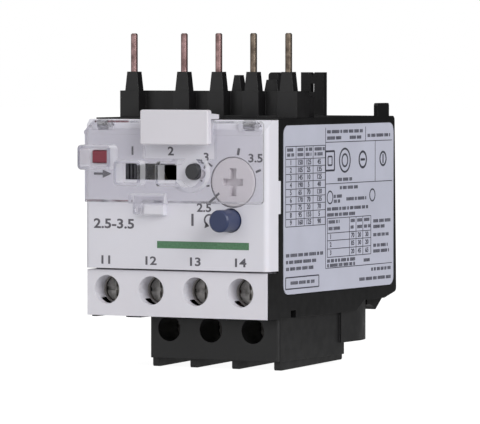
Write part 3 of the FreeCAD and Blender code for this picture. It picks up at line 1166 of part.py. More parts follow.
def heater(k):
    """Return one heater: a ribbon wound round the sleeve, its turns joined at alternate ends."""
    x = POLES[k]
    turns = []
    for n in range(HEATER_TURNS):
        low = HEATER_FOOT + n * HEATER_PITCH
        turns.append(ring_outline(x, SLEEVE_T + HEATER_T, low, low + HEATER_H))
        if n:
            side = -1 if n % 2 else 1
            y = STRIP_Y + side * (BIMETAL[1] / 2 + SLEEVE_T + HEATER_T / 2)
            turns.append(box(x - 0.7, x + 0.7, y - HEATER_T / 2, y + HEATER_T / 2,
                             low - HEATER_PITCH + HEATER_H / 2, low + HEATER_H / 2))
    foot = box(x - 0.7, x + 0.7, STRIP_Y + BIMETAL[1] / 2 + SLEEVE_T,
               STRIP_Y + BIMETAL[1] / 2 + SLEEVE_T + HEATER_T,
               BIMETAL_FOOT, HEATER_FOOT + HEATER_H / 2)
    inner = ring_outline(x, SLEEVE_T, HEATER_FOOT - 2, LINK_STRAP_Z + 2)
    return cut(join(turns + [foot]), [inner])


def power_bars():
    """Return the bars from the feet of the heaters down into the power terminals."""
    bars = []
    low = BIMETAL_FOOT - BAR_T
    for x, to in zip(POLES, POWER_X):
        rear = STRIP_Y + BIMETAL[1] / 2 + 1.8
        turn, front, half = PARTITION_FRONT - 1, BAR_DROP_Y + 4, BAR_W / 2
        flat = prism("z", [(x - half, rear), (x - half, turn), (to - half, front), (to - half, BAR_DROP_Y),
                           (to + half, BAR_DROP_Y), (to + half, front), (x + half, turn), (x + half, rear)],
                     low, BIMETAL_FOOT)
        drop = box(to - half, to + half, BAR_DROP_Y, BAR_DROP_Y + BAR_T, POWER_Z - 2.9, BIMETAL_FOOT)
        hole = rod("y", to, POWER_Z, BAR_DROP_Y - 1, BAR_DROP_Y + 3, POWER_SHANK_D / 2 + RUN)
        bars.append(cut(join([flat, drop]), [hole]))
    return Part.makeCompound(bars)


def power_screw(k):
    """Return one screw of the power terminals."""
    return screw(POWER_X[k], POWER_Z, POWER_HEAD_Y, POWER_HEAD_D, POWER_HEAD_H, POWER_SHANK_D,
                 POWER_CAGE_END - 0.6)


def power_saddles():
    """Return the three clamp washers of the power terminals."""
    front = POWER_HEAD_Y + POWER_HEAD_H
    return Part.makeCompound([saddle(x, POWER_Z, front, POWER_SADDLE_T, POWER_SHANK_D) for x in POWER_X])


# ---------------------------------------------------------------- export
def build():
    """Return every sub-part by the name of its node."""
    closing, opening = bridge_levels()
    parts = {
        "main_housing": join([main_housing(), spring_anchor()]),
        "side_cover": side_cover(),
        "side_label": label_plate(LABEL_T, 0.0),
        "pin_block": pin_block(),
        "lower_terminal_block": lower_terminal_block(),
        "front_panel": front_panel(),
        "terminal_strip": terminal_strip(),
        "transparent_cover": transparent_cover(),
        "cover_pivot_pins": cover_pivot_pins(),
        "marker_tag": marker_tag(),
        "adjustment_dial": adjustment_dial(),
        "dial_cam": dial_cam(),
        "adjusting_link": adjusting_link(),
        "reset_button": reset_button(),
        "reset_spring": reset_spring(),
        "test_lever": test_lever(),
        "test_spring": test_spring(),
        "mode_selector": mode_selector(),
        "trip_indicator": trip_indicator(),
        "upper_trip_slide": trip_slide(UPPER_SLIDE_Z, SLIDE_LEFT),
        "lower_trip_slide": trip_slide(SLIDE_Z, SLIDE_LEFT + 1.5),
        "trip_lever": trip_lever(),
        "trip_rocker": trip_rocker(),
        "rocker_pin": rocker_pin(),
        "contact_carrier": contact_carrier(),
        "no_contact_bridge": contact_bridge(closing, False),
        "nc_contact_bridge": contact_bridge(opening, True),
        "contact_spring": contact_spring(),
        "aux_saddles": aux_saddles(),
        "coil_pin": plug_pin(COIL_PIN_X, CEILING - 4),
        "aux_pin": plug_pin(AUX_PIN_X, CEILING - 4),
        "pole_links": pole_links(),
        "insulation_sleeves": insulation_sleeves(),
        "power_bars": power_bars(),
        "power_saddles": power_saddles(),
    }
    for k in range(2):
        parts[f"no_fixed_contact_{k + 1}"] = no_fixed_contact(k)
        parts[f"nc_fixed_contact_{k + 1}"] = nc_fixed_contact(k)
    for k in range(4):
        parts[f"aux_screw_{k + 1}"] = aux_screw(k)
    for k in range(3):
        parts[f"pole_pin_{k + 1}"] = plug_pin(POLES[k], LINK_STRAP_Z - 0.6)
        parts[f"bimetal_{k + 1}"] = bimetal(k)
        parts[f"heater_{k + 1}"] = heater(k)
        parts[f"power_screw_{k + 1}"] = power_screw(k)
    return parts


def export(parts):
    """Write each sub-part to its own STEP file, in the frame of the middle pole pin."""
    os.makedirs("parts", exist_ok=True)
    for name, shape in parts.items():
        shape.translate(ORIGIN * -1)
        shape.exportStep(f"parts/{name}.step")
        print(f"{name:22s} solids {len(shape.Solids)}  valid {shape.isValid()}  volume {shape.Volume:9.2f}")


export(build())
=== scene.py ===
"""Dresses a packed thermal overload relay: finishes, print on its panel and label, light and camera."""

import json
import logging
import math
import random
from dataclasses import dataclass, field
from enum import Enum
from typing import Iterable, Sequence

import bpy
from mathutils import Matrix, Vector

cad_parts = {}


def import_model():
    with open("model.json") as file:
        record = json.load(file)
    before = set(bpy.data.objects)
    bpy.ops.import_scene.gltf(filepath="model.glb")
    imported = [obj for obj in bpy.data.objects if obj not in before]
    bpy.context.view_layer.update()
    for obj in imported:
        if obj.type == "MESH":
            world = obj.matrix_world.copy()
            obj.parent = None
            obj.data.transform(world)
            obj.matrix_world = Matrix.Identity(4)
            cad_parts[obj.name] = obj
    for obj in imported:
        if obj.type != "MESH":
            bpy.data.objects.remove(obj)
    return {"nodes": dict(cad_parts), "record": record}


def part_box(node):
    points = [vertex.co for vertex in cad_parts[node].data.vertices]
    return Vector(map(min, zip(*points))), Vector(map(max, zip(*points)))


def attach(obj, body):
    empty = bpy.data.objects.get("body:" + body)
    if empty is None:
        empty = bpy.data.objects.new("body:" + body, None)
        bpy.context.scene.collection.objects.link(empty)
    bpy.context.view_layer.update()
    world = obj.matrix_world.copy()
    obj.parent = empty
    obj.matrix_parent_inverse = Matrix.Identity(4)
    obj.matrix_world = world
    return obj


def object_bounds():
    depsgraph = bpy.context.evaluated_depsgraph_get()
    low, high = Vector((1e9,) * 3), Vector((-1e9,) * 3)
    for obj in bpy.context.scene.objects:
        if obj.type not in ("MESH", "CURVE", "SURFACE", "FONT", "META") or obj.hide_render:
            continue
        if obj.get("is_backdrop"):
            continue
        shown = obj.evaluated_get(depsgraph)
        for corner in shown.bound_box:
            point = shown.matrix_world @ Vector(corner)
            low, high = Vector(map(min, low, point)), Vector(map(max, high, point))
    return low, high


LOG = logging.getLogger("relay")
MM = 0.001
BASE = "relay_base"

Colour = tuple[float, float, float]


class Face(Enum):
    """The two faces that carry print, with the directions in which print runs on them."""

    FRONT = ((1, 0, 0), (0, 0, 1), (0, -1, 0))
    SIDE = ((0, 1, 0), (0, 0, 1), (1, 0, 0))

    def matrix(self, origin: Vector) -> Matrix:
        """Return the matrix that lays flat print on this face.

        Args:
            origin: where the print's own zero goes, in metres.

        Returns:
            A matrix from print space, with x along the line and y up, to the row frame.
        """
        across, up, out = (Vector(v) for v in self.value)
        matrix = Matrix((across, up, out)).transposed().to_4x4()
        matrix.translation = origin
        return matrix


# ------------------------------------------------------------------------------------------------ finishes
class Graph:
    """A material's node graph, with short calls for the nodes that the finishes share."""

    def __init__(self, name: str) -> None:
        """Start an empty graph.

        Args:
            name: the material's name.
        """
        self.material = bpy.data.materials.new(name)
        self.material.use_nodes = True
        self.tree = self.material.node_tree
        self.tree.nodes.clear()
        self.output = self.add("ShaderNodeOutputMaterial")
        self.place = self.add("ShaderNodeTexCoord").outputs["Object"]

    def add(self, kind: str, **inputs: object) -> bpy.types.Node:
        """Add a node.

        Args:
            kind: the node's type.
            inputs: values for its inputs, by name with spaces written as underscores.

        Returns:
            The new node.
        """
        node = self.tree.nodes.new(kind)
        for name, value in inputs.items():
            node.inputs[name.replace("_", " ")].default_value = value
        return node

    def link(self, source: bpy.types.NodeSocket, target: bpy.types.NodeSocket) -> None:
        """Join an output to an input."""
        self.tree.links.new(source, target)

    def noise(self, scale: float, detail: float = 3.0,
              stretch: Sequence[float] = (1, 1, 1)) -> bpy.types.NodeSocket:
        """Add fractal noise in the object's own space.

        Args:
            scale: how many features to a metre.
            detail: octaves of detail.
            stretch: how much the space is scaled on each axis first.

        Returns:
            The noise's value, from 0 to 1.
        """
        space = self.add("ShaderNodeMapping", Scale=stretch)
        self.link(self.place, space.inputs["Vector"])
        noise = self.add("ShaderNodeTexNoise", Scale=scale, Detail=detail)
        self.link(space.outputs["Vector"], noise.inputs["Vector"])
        return noise.outputs["Fac"]

    def remap(self, value: bpy.types.NodeSocket, low: float, high: float) -> bpy.types.NodeSocket:
        """Spread a value's middle range over new limits.

        Args:
            value: the value to spread.
            low: result at 0.35.
            high: result at 0.65.

        Returns:
            The new value.
        """
        node = self.add("ShaderNodeMapRange", From_Min=0.35, From_Max=0.65, To_Min=low, To_Max=high)
        self.link(value, node.inputs["Value"])
        return node.outputs["Result"]

    def blend(self, factor: bpy.types.NodeSocket, first: Colour, second: Colour) -> bpy.types.NodeSocket:
        """Mix two colours by a value.

        Args:
            factor: 0 for the first colour, 1 for the second.
            first: a linear colour.
            second: a linear colour.

        Returns:
            The mixed colour.
        """
        ramp = self.add("ShaderNodeValToRGB")
        ramp.color_ramp.elements[0].position = 0.35
        ramp.color_ramp.elements[1].position = 0.65
        ramp.color_ramp.elements[0].color = (*first, 1)
        ramp.color_ramp.elements[1].color = (*second, 1)
        self.link(factor, ramp.inputs["Fac"])
        return ramp.outputs["Color"]

    def mix(self, factor: bpy.types.NodeSocket, first: bpy.types.NodeSocket,
            second: bpy.types.NodeSocket) -> bpy.types.NodeSocket:
        """Mix two shaders by a value.

        Args:
            factor: 0 for the first shader, 1 for the second.
            first: a shader.
            second: a shader.

        Returns:
            The mixed shader.
        """
        node = self.add("ShaderNodeMixShader")
        for socket, value in zip(node.inputs, (factor, first, second)):
            self.link(value, socket)
        return node.outputs["Shader"]

    def close(self, shader: bpy.types.NodeSocket) -> bpy.types.Material:
        """Join the last shader to the output.

        Args:
            shader: the shader of the whole surface.

        Returns:
            The finished material.
        """
        self.link(shader, self.output.inputs["Surface"])
        return self.material

    def bump(self, height: bpy.types.NodeSocket, depth: float, edge: float = 0.0) -> bpy.types.NodeSocket:
        """Turn a height into a normal.

        Args:
            height: the height from 0 to 1.
            depth: what a height of 1 stands for, in metres.
            edge: radius of the softened edges, in metres.

        Returns:
            The normal.
        """
        bump = self.add("ShaderNodeBump", Strength=1.0, Distance=depth)
        self.link(height, bump.inputs["Height"])
        if edge:
            soft = self.add("ShaderNodeBevel", Radius=edge)
            soft.samples = 4
            self.link(soft.outputs["Normal"], bump.inputs["Normal"])
        return bump.outputs["Normal"]


def shade(colour: Colour, factor: float) -> Colour:
    """Return a colour made lighter or darker by a factor."""
    return tuple(min(1.0, c * factor) for c in colour)


@dataclass(frozen=True)
class MouldedPlastic:
    """Injection-moulded plastic with a fine spark-eroded grain and faint flow clouds."""

    name: str
    colour: Colour
    roughness: float = 0.5
    grain: float = 5200.0
    depth: float = 0.006 * MM
    clouds: float = 0.05
    edge: float = 0.18 * MM
    specular: float = 0.5
    subsurface: float = 0.0

    def build(self) -> bpy.types.Material:
        """Return the material."""
        graph = Graph(self.name)
        shader = graph.add("ShaderNodeBsdfPrincipled", Specular_IOR_Level=self.specular)
        if self.subsurface:
            shader.inputs["Subsurface Weight"].default_value = self.subsurface
            shader.inputs["Subsurface Scale"].default_value = 0.6 * MM
            shader.inputs["Subsurface Radius"].default_value = (1.0, 0.8, 0.7)
        cloud = graph.noise(90.0)
        colour = graph.blend(cloud, shade(self.colour, 1 - self.clouds), shade(self.colour, 1 + self.clouds))
        graph.link(colour, shader.inputs["Base Color"])
        rough = graph.remap(graph.noise(420.0), self.roughness - 0.05, self.roughness + 0.06)
        graph.link(rough, shader.inputs["Roughness"])
        graph.link(graph.bump(graph.noise(self.grain, 2.0), self.depth, self.edge), shader.inputs["Normal"])
        return graph.close(shader.outputs["BSDF"])


@dataclass(frozen=True)
class ClearPlastic:
    """Clear moulded polycarbonate, tinted where it is looked through, with a faint white haze that grows into
    a painted edge highlight where a wall is seen edge-on.

    Light that falls through it meets the tint alone, so the controls behind it stay lit.
    """

    name: str
    tint: Colour = (0.94, 0.937, 0.95)
    glow: Colour = (0.93, 0.93, 0.96)
    polish: Colour = (0.9, 0.9, 0.92)
    roughness: float = 0.09
    ior: float = 1.3
    turned_away: tuple[float, float] = (0.13, 0.62)
    # Share of the white layer: faint haze face-on, painted edge highlight edge-on.
    haze_to_edge_highlight: tuple[float, float] = (0.02, 0.5)
    ripple: float = 0.01 * MM
    edge: float = 0.12 * MM

    def build(self) -> bpy.types.Material:
        """Return the material."""
        graph = Graph(self.name)
        normal = graph.bump(graph.noise(150.0, 1.0), self.ripple, self.edge)
        clear = graph.add("ShaderNodeBsdfTransparent")
        graph.link(graph.blend(graph.noise(60.0), shade(self.tint, 0.985), self.tint), clear.inputs["Color"])
        haze_and_edge_highlight = graph.add("ShaderNodeBsdfDiffuse", Color=(*self.glow, 1))
        gloss = graph.add("ShaderNodeBsdfAnisotropic", Color=(*self.polish, 1))
        graph.link(graph.remap(graph.noise(300.0), self.roughness, self.roughness + 0.05),
                   gloss.inputs["Roughness"])
        fresnel = graph.add("ShaderNodeFresnel", IOR=self.ior)
        for node in (haze_and_edge_highlight, gloss, fresnel):
            graph.link(normal, node.inputs["Normal"])
        # The white diffuse layer is faint haze face-on and painted edge highlight where a wall turns edge-on.
        body = graph.mix(self.cloud(graph, normal), clear.outputs["BSDF"], haze_and_edge_highlight.outputs["BSDF"])
        surface = graph.mix(fresnel.outputs["Fac"], body, gloss.outputs["BSDF"])
        return graph.close(graph.mix(self.falling_light(graph), surface, clear.outputs["BSDF"]))

    def cloud(self, graph: Graph, normal: bpy.types.NodeSocket) -> bpy.types.NodeSocket:
        """Return the share of the white diffuse layer: a faint haze face-on that grows into a painted edge
        highlight as the surface turns away from the eye.

        Args:
            graph: the material's graph.
            normal: the surface's normal.

        Returns:
            The share of haze and painted edge highlight.
        """
        facing = graph.add("ShaderNodeLayerWeight", Blend=0.5)
        graph.link(normal, facing.inputs["Normal"])
        start, end = self.turned_away
        node = graph.add("ShaderNodeMapRange", From_Min=start, From_Max=end, To_Min=self.haze_to_edge_highlight[0],
                         To_Max=self.haze_to_edge_highlight[1])
        graph.link(facing.outputs["Facing"], node.inputs["Value"])
        return node.outputs["Result"]

    @staticmethod
    def falling_light(graph: Graph) -> bpy.types.NodeSocket:
        """Return a value of 1 for rays that gather light behind the plastic, from lamps or the surround."""
        path = graph.add("ShaderNodeLightPath")
        node = graph.add("ShaderNodeMath")
        node.operation = "MAXIMUM"
        graph.link(path.outputs["Is Shadow Ray"], node.inputs[0])
        graph.link(path.outputs["Is Diffuse Ray"], node.inputs[1])
        return node.outputs["Value"]


@dataclass(frozen=True)
class DrawnMetal:
    """Bare or plated metal with fine drawing lines and patches of dulled surface."""

    name: str
    colour: Colour
    dull: Colour
    roughness: float = 0.28
    lines: tuple[float, float, float] = (60.0, 60.0, 1.0)

    def build(self) -> bpy.types.Material:
        """Return the material."""
        graph = Graph(self.name)
        shader = graph.add("ShaderNodeBsdfPrincipled", Metallic=1.0)
        patches = graph.noise(700.0, 4.0)
        graph.link(graph.blend(patches, self.colour, self.dull), shader.inputs["Base Color"])
        graph.link(graph.remap(patches, self.roughness, self.roughness + 0.22), shader.inputs["Roughness"])
        graph.link(graph.bump(graph.noise(160.0, 3.0, self.lines), 0.008 * MM), shader.inputs["Normal"])
        return graph.close(shader.outputs["BSDF"])


@dataclass(frozen=True)
class PrintedFilm:
    """Pale self-adhesive film with a faint paper tone and a satin face."""

    name: str
    colour: Colour
    roughness: float = 0.38

    def build(self) -> bpy.types.Material:
        """Return the material."""
        graph = Graph(self.name)
        shader = graph.add("ShaderNodeBsdfPrincipled", Specular_IOR_Level=0.45)
        graph.link(graph.blend(graph.noise(55.0), shade(self.colour, 0.95), shade(self.colour, 1.05)),
                   shader.inputs["Base Color"])
        graph.link(graph.remap(graph.noise(900.0), self.roughness, self.roughness + 0.08),
                   shader.inputs["Roughness"])
        graph.link(graph.bump(graph.noise(140.0, 2.0), 0.012 * MM), shader.inputs["Normal"])
        return graph.close(shader.outputs["BSDF"])


@dataclass(frozen=True)
class Ink:
    """Pad-printed ink, a little uneven in cover."""

    name: str
    colour: Colour

    def build(self) -> bpy.types.Material:
        """Return the material."""
        graph = Graph(self.name)
        shader = graph.add("ShaderNodeBsdfPrincipled")
        graph.link(graph.blend(graph.noise(2500.0), self.colour, shade(self.colour, 1.35)),
                   shader.inputs["Base Color"])
        graph.link(graph.remap(graph.noise(1500.0), 0.5, 0.62), shader.inputs["Roughness"])
        return graph.close(shader.outputs["BSDF"])


@dataclass(frozen=True)
class WovenSleeve:
    """Glass-fibre sleeve with a plain weave."""

    name: str
    colour: Colour

    def build(self) -> bpy.types.Material:
        """Return the material."""
        graph = Graph(self.name)
        shader = graph.add("ShaderNodeBsdfPrincipled", Roughness=0.8)
        wave = graph.add("ShaderNodeTexWave", Scale=900.0, Distortion=1.0)
        graph.link(graph.place, wave.inputs["Vector"])
        graph.link(graph.blend(wave.outputs["Fac"], shade(self.colour, 0.8), self.colour),
                   shader.inputs["Base Color"])
        graph.link(graph.bump(wave.outputs["Fac"], 0.05 * MM), shader.inputs["Normal"])
        return graph.close(shader.outputs["BSDF"])


FINISHES = {
    "black_plastic": MouldedPlastic("black_case", (0.0075, 0.0074, 0.0078), 0.42, clouds=0.12, specular=0.26),
    "black_plastic_cover": MouldedPlastic(
        "black_side_cover", (0.007, 0.0069, 0.0073), 0.4, clouds=0.12, specular=0.26),
    "black_plastic_pin_block": MouldedPlastic(
        "black_pin_block", (0.0085, 0.0082, 0.0088), 0.36, clouds=0.1, specular=0.38),
    "black_plastic_terminals": MouldedPlastic(
        "black_terminal_block", (0.0085, 0.0084, 0.009), 0.4, clouds=0.12, specular=0.45),
    "black_plastic_selector": MouldedPlastic("black_slider", (0.03, 0.029, 0.036), 0.45),
    "dark_plastic_stud": MouldedPlastic("dark_stud", (0.03, 0.03, 0.034), 0.4),
    "label_film": PrintedFilm("label_film", (0.5, 0.51, 0.6)),
    "white_plastic": MouldedPlastic("white_panel", (0.74, 0.73, 0.79), 0.48, clouds=0.012, subsurface=0.05),
    "white_plastic_strip": MouldedPlastic(
        "white_strip", (0.75, 0.735, 0.79), 0.48, clouds=0.012, subsurface=0.05),
    "white_plastic_tag": MouldedPlastic("white_tag", (0.72, 0.7, 0.75), 0.42, clouds=0.012, subsurface=0.05),
    "white_plastic_dial": MouldedPlastic("white_dial", (0.74, 0.7, 0.73), 0.42, clouds=0.015),
    "clear_plastic": ClearPlastic("clear_cover"),
    "natural_plastic": MouldedPlastic("natural_acetal", (0.72, 0.7, 0.63), 0.4, clouds=0.03, subsurface=0.1),
    "blue_plastic": MouldedPlastic("blue_button", (0.026, 0.038, 0.1), 0.36, clouds=0.06),
    "red_plastic": MouldedPlastic("red_lever", (0.22, 0.032, 0.05), 0.38, clouds=0.06),
    "copper_metal": DrawnMetal("bare_copper", (0.42, 0.27, 0.265), (0.2, 0.125, 0.12), 0.3),
    # Darker copper for the two right-hand pins: painted shade, for the dark surroundings that they reflect.
    "copper_metal_painted_shade": DrawnMetal("copper_painted_shade", (0.26, 0.21, 0.165), (0.12, 0.095, 0.075), 0.34),
    "brass_metal": DrawnMetal("brass_strip", (0.62, 0.48, 0.26), (0.45, 0.35, 0.19)),
    "zinc_steel": DrawnMetal(
        "zinc_plated_steel", (0.36, 0.35, 0.33), (0.2, 0.195, 0.185), 0.3, (8.0, 8.0, 8.0)),
    "spring_steel": DrawnMetal("spring_steel", (0.5, 0.5, 0.5), (0.36, 0.36, 0.36)),
    "bimetal_metal": DrawnMetal("bimetal", (0.54, 0.52, 0.48), (0.4, 0.37, 0.32)),
    "heater_metal": DrawnMetal("heater_ribbon", (0.46, 0.44, 0.41), (0.3, 0.27, 0.25)),
    "insulation_fabric": WovenSleeve("glass_sleeve", (0.7, 0.66, 0.55)),
}

# The collars' grey is painted shade: the white well wall where it darkens down towards the screw head.
COLLAR = MouldedPlastic("shaded_collar", (0.3, 0.28, 0.27), 0.5)

# The two pins on the right get a darker copper: painted shade, for the dark surroundings that they reflect.
PAINTED_SHADE_PINS = {"pole_pin_3": "copper_metal_painted_shade", "aux_pin": "copper_metal_painted_shade"}


# ------------------------------------------------------------------------------------------------ print
@dataclass
class FlatPrint:
    """Ink on one face: bars, strokes, rings and figures gathered into one mesh, a film thick."""

    name: str
    face: Face
    origin: Vector
    ink: bpy.types.Material
    body: str = BASE
    thickness: float = 0.03 * MM
    weight: float = 0.035
    figure_share: float = 0.7
    vertices: list[tuple[float, float, float]] = field(default_factory=list)
    faces: list[tuple[int, ...]] = field(default_factory=list)

    def outline(self, points: Sequence[tuple[float, float]]) -> None:
        """Add a closed outline as a thin plate.

        Args:
            points: the outline's corners in millimetres, counter-clockwise.
        """
        start, count = len(self.vertices), len(points)
        for level in (0.0, self.thickness):
            self.vertices += [(x * MM, y * MM, level) for x, y in points]
        lower, upper = range(start, start + count), range(start + count, start + 2 * count)
        self.faces += [tuple(reversed(lower)), tuple(upper)]
        for k in range(count):
            after = (k + 1) % count
            self.faces.append((lower[k], lower[after], upper[after], upper[k]))

    def bar(self, x: float, y: float, width: float, height: float) -> None:
        """Add an upright rectangle by its lower left corner and its size."""
        self.outline([(x, y), (x + width, y), (x + width, y + height), (x, y + height)])

    def stroke(self, start: tuple[float, float], end: tuple[float, float], width: float) -> None:
        """Add a straight stroke between two points."""
        a, b = Vector(start), Vector(end)
        side = (b - a).orthogonal().normalized() * (width / 2)
        self.outline([tuple(p) for p in (a - side, b - side, b + side, a + side)][::-1])

    def arc(self, middle: tuple[float, float], radius: float, width: float, first: float,
            last: float) -> None:
        """Add a curved stroke.

        Args:
            middle: the arc's centre.
            radius: radius of the stroke's middle line.
            width: width of the stroke.
            first: angle where it starts, in degrees.
            last: angle where it ends, in degrees, larger than the first.
        """
        steps = max(6, int((last - first) / 8))
        angles = [math.radians(first + (last - first) * k / steps) for k in range(steps + 1)]
        for a, b in zip(angles, angles[1:]):
            outer, inner = radius + width / 2, radius - width / 2
            corners = [(outer, a), (outer, b), (inner, b), (inner, a)]
            self.outline([(middle[0] + r * math.cos(t), middle[1] + r * math.sin(t)) for r, t in corners])

    def radial(self, middle: tuple[float, float], degrees: float, inner: float, outer: float,
               width: float) -> None:
        """Add a stroke that points at a middle.

        Args:
            middle: the point that the stroke points at.
            degrees: direction of the stroke from there, in degrees.
            inner: where the stroke starts, from the middle.
            outer: where it ends, from the middle.
            width: width of the stroke.
        """
        turn = math.radians(degrees)
        start, end = ((middle[0] + r * math.cos(turn), middle[1] + r * math.sin(turn))
                      for r in (inner, outer))
        self.stroke(start, end, width)

    def figures(self, text: str, x: float, y: float, height: float, squeeze: float = 1.0) -> None:
        """Add a line of plain figures, centred on a point.

        Args:
            text: the figures.
            x: middle of the line.
            y: middle of the figures' height.
            height: height of a figure.
            squeeze: width as a share of the typeface's own.
        """
        curve = bpy.data.curves.new("figures", "FONT")
        curve.body, curve.align_x, curve.align_y = text, "CENTER", "CENTER"
        curve.size = height / self.figure_share * MM
        curve.extrude, curve.offset = self.thickness / 2, height * self.weight * MM
        curve.resolution_u = 3
        writer = bpy.data.objects.new("figures", curve)
        mesh = bpy.data.meshes.new_from_object(writer)
        start = len(self.vertices)
        lift = self.thickness / 2
        self.vertices += [(v.co.x * squeeze + x * MM, v.co.y + y * MM, v.co.z + lift) for v in mesh.vertices]
        self.faces += [tuple(start + k for k in polygon.vertices) for polygon in mesh.polygons]
        bpy.data.objects.remove(writer)
        bpy.data.curves.remove(curve)
        bpy.data.meshes.remove(mesh)

    def lay(self) -> bpy.types.Object:
        """Make the piece, set it on its face and let it ride on its body.

        Returns:
            The piece.
        """
        mesh = bpy.data.meshes.new(self.name)
        mesh.from_pydata(self.vertices, [], self.faces)
        mesh.validate()
        mesh.transform(self.face.matrix(self.origin))
        mesh.update()
        mesh.materials.append(self.ink)
        piece = bpy.data.objects.new(self.name, mesh)
        bpy.context.scene.collection.objects.link(piece)
        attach(piece, self.body)
        LOG.info("piece %s: %d faces on %s", self.name, len(mesh.polygons), self.body)
        return piece


@dataclass
class PanelPrint:
    """Print of the front panel: setting scale, marks of the controls, terminal numbers and the green stripe.

    Lengths are in millimetres. Each scale stroke is an angle, an inner and an outer radius and a width, and
    each setting is its figures and their place from the dial's middle.
    """

    grey: bpy.types.Material
    green: bpy.types.Material
    proud: float = 0.15
    figure: float = 1.75
    mark_figure: float = 1.8
    wide: float = 1.2
    first_terminal: int = 11
    terminal_height: float = 1.75
    terminal_wide: float = 1.35
    scale_strokes: tuple[tuple[float, float, float, float], ...] = (
        (217, 5.55, 7.3, 0.55), (188, 5.85, 6.6, 0.4), (147, 6.1, 7.5, 0.42), (79, 5.9, 7.4, 0.6),
        (22, 5.9, 7.2, 0.5))
    settings: tuple[tuple[str, float, float], ...] = (
        ("2.5", -7.1, -5.65), ("3", -6.6, 5.2), ("3.5", 5.4, 5.1))
    pointer: tuple[float, float, float, float] = (216, 4.1, 5.1, 0.5)
    dial_gap: float = 0.12
    range_place: tuple[float, float] = (7.3, 9.6)
    range_figure: float = 2.0
    range_wide: float = 1.3
    stripe_size: tuple[float, float] = (22.5, 1.55)
    stripe_height: float = 4.6
    stripe_left: float = 18.0

    def zero(self) -> Vector:
        """Return the panel's lower left corner, on its printed face."""
        low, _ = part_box("front_panel")
        dial_low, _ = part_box("adjustment_dial")
        return Vector((low.x, dial_low.y + self.proud * MM, low.z))

    def spot(self, node: str) -> tuple[float, float]:
        """Return the middle of a node on the panel, in millimetres from the panel's corner."""
        low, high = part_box(node)
        middle = ((low + high) / 2 - self.zero()) / MM
        return middle.x, middle.z

    def build(self) -> None:
        """Make every printed piece of the panel."""
        scale = FlatPrint("setting_scale", Face.FRONT, self.zero(), self.grey)
        self.draw_scale(scale)
        scale.lay()
        marks = FlatPrint("control_marks", Face.FRONT, self.zero(), self.grey)
        self.draw_marks(marks)
        marks.lay()
        numbers = FlatPrint("terminal_numbers", Face.FRONT, self.zero(), self.grey)
        for k in range(4):
            x, _ = self.spot(f"aux_screw_{k + 1}")
            numbers.figures(f"{self.first_terminal + k}", x + 0.2, self.terminal_height, self.figure,
                            self.terminal_wide)
        numbers.lay()
        stripe = FlatPrint("green_stripe", Face.FRONT, self.zero(), self.green)
        stripe.bar(self.stripe_left, self.stripe_height, *self.stripe_size)
        stripe.lay()
        self.mark_dial()

    def mark_dial(self) -> None:
        """Make the pointer stroke on the dial's own face, which turns with it."""
        low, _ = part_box("adjustment_dial")
        zero = self.zero()
        pointer = FlatPrint("dial_pointer", Face.FRONT, Vector((zero.x, low.y, zero.z)), self.grey, "dial")
        pointer.radial(self.spot("adjustment_dial"), *self.pointer)
        pointer.lay()

    def draw_scale(self, scale: FlatPrint) -> None:
        """Draw the thin ring round the dial, which is painted shade of the gap between dial and panel, the
        strokes and the numbers round the dial, and the relay's plain range.

        Args:
            scale: the print to draw into.
        """
        x, y = self.spot("adjustment_dial")
        low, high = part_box("adjustment_dial")
        # The ring just outside the dial is painted shade of the narrow gap round the dial.
        scale.arc((x, y), (high.x - low.x) / 2 / MM + self.dial_gap, 0.1, 0, 360)
        for stroke in self.scale_strokes:
            scale.radial((x, y), *stroke)
        for text, along, up in self.settings:
            scale.figures(text, x + along, y + up, self.figure, self.wide)
        scale.figures("2.5-3.5", *self.range_place, self.range_figure, self.range_wide)

    def draw_marks(self, marks: FlatPrint) -> None:
        """Draw the plain marks of the test lever, the slider's two places and the reset button.

        Args:
            marks: the print to draw into.
        """
        x, y = self.spot("test_lever")
        marks.outline([(x + 0.4, y - 4.6), (x + 2.6, y - 3.7), (x + 0.4, y - 2.8)])
        marks.bar(x - 1.8, y - 3.95, 2.2, 0.5)
        x, y = self.spot("mode_selector")
        marks.figures("1", x, y + 4.4, self.mark_figure, self.wide)
        marks.figures("2", x + 9.5, y + 4.4, self.mark_figure, self.wide)
        x, y = self.spot("reset_button")
        marks.arc((x - 5.2, y), 1.15, 0.36, -40, 250)
        marks.outline([(x - 6.4, y - 1.75), (x - 5.2, y - 1.3), (x - 6.05, y - 0.35)])
        marks.bar(x - 9.6, y - 1.3, 0.55, 2.6)


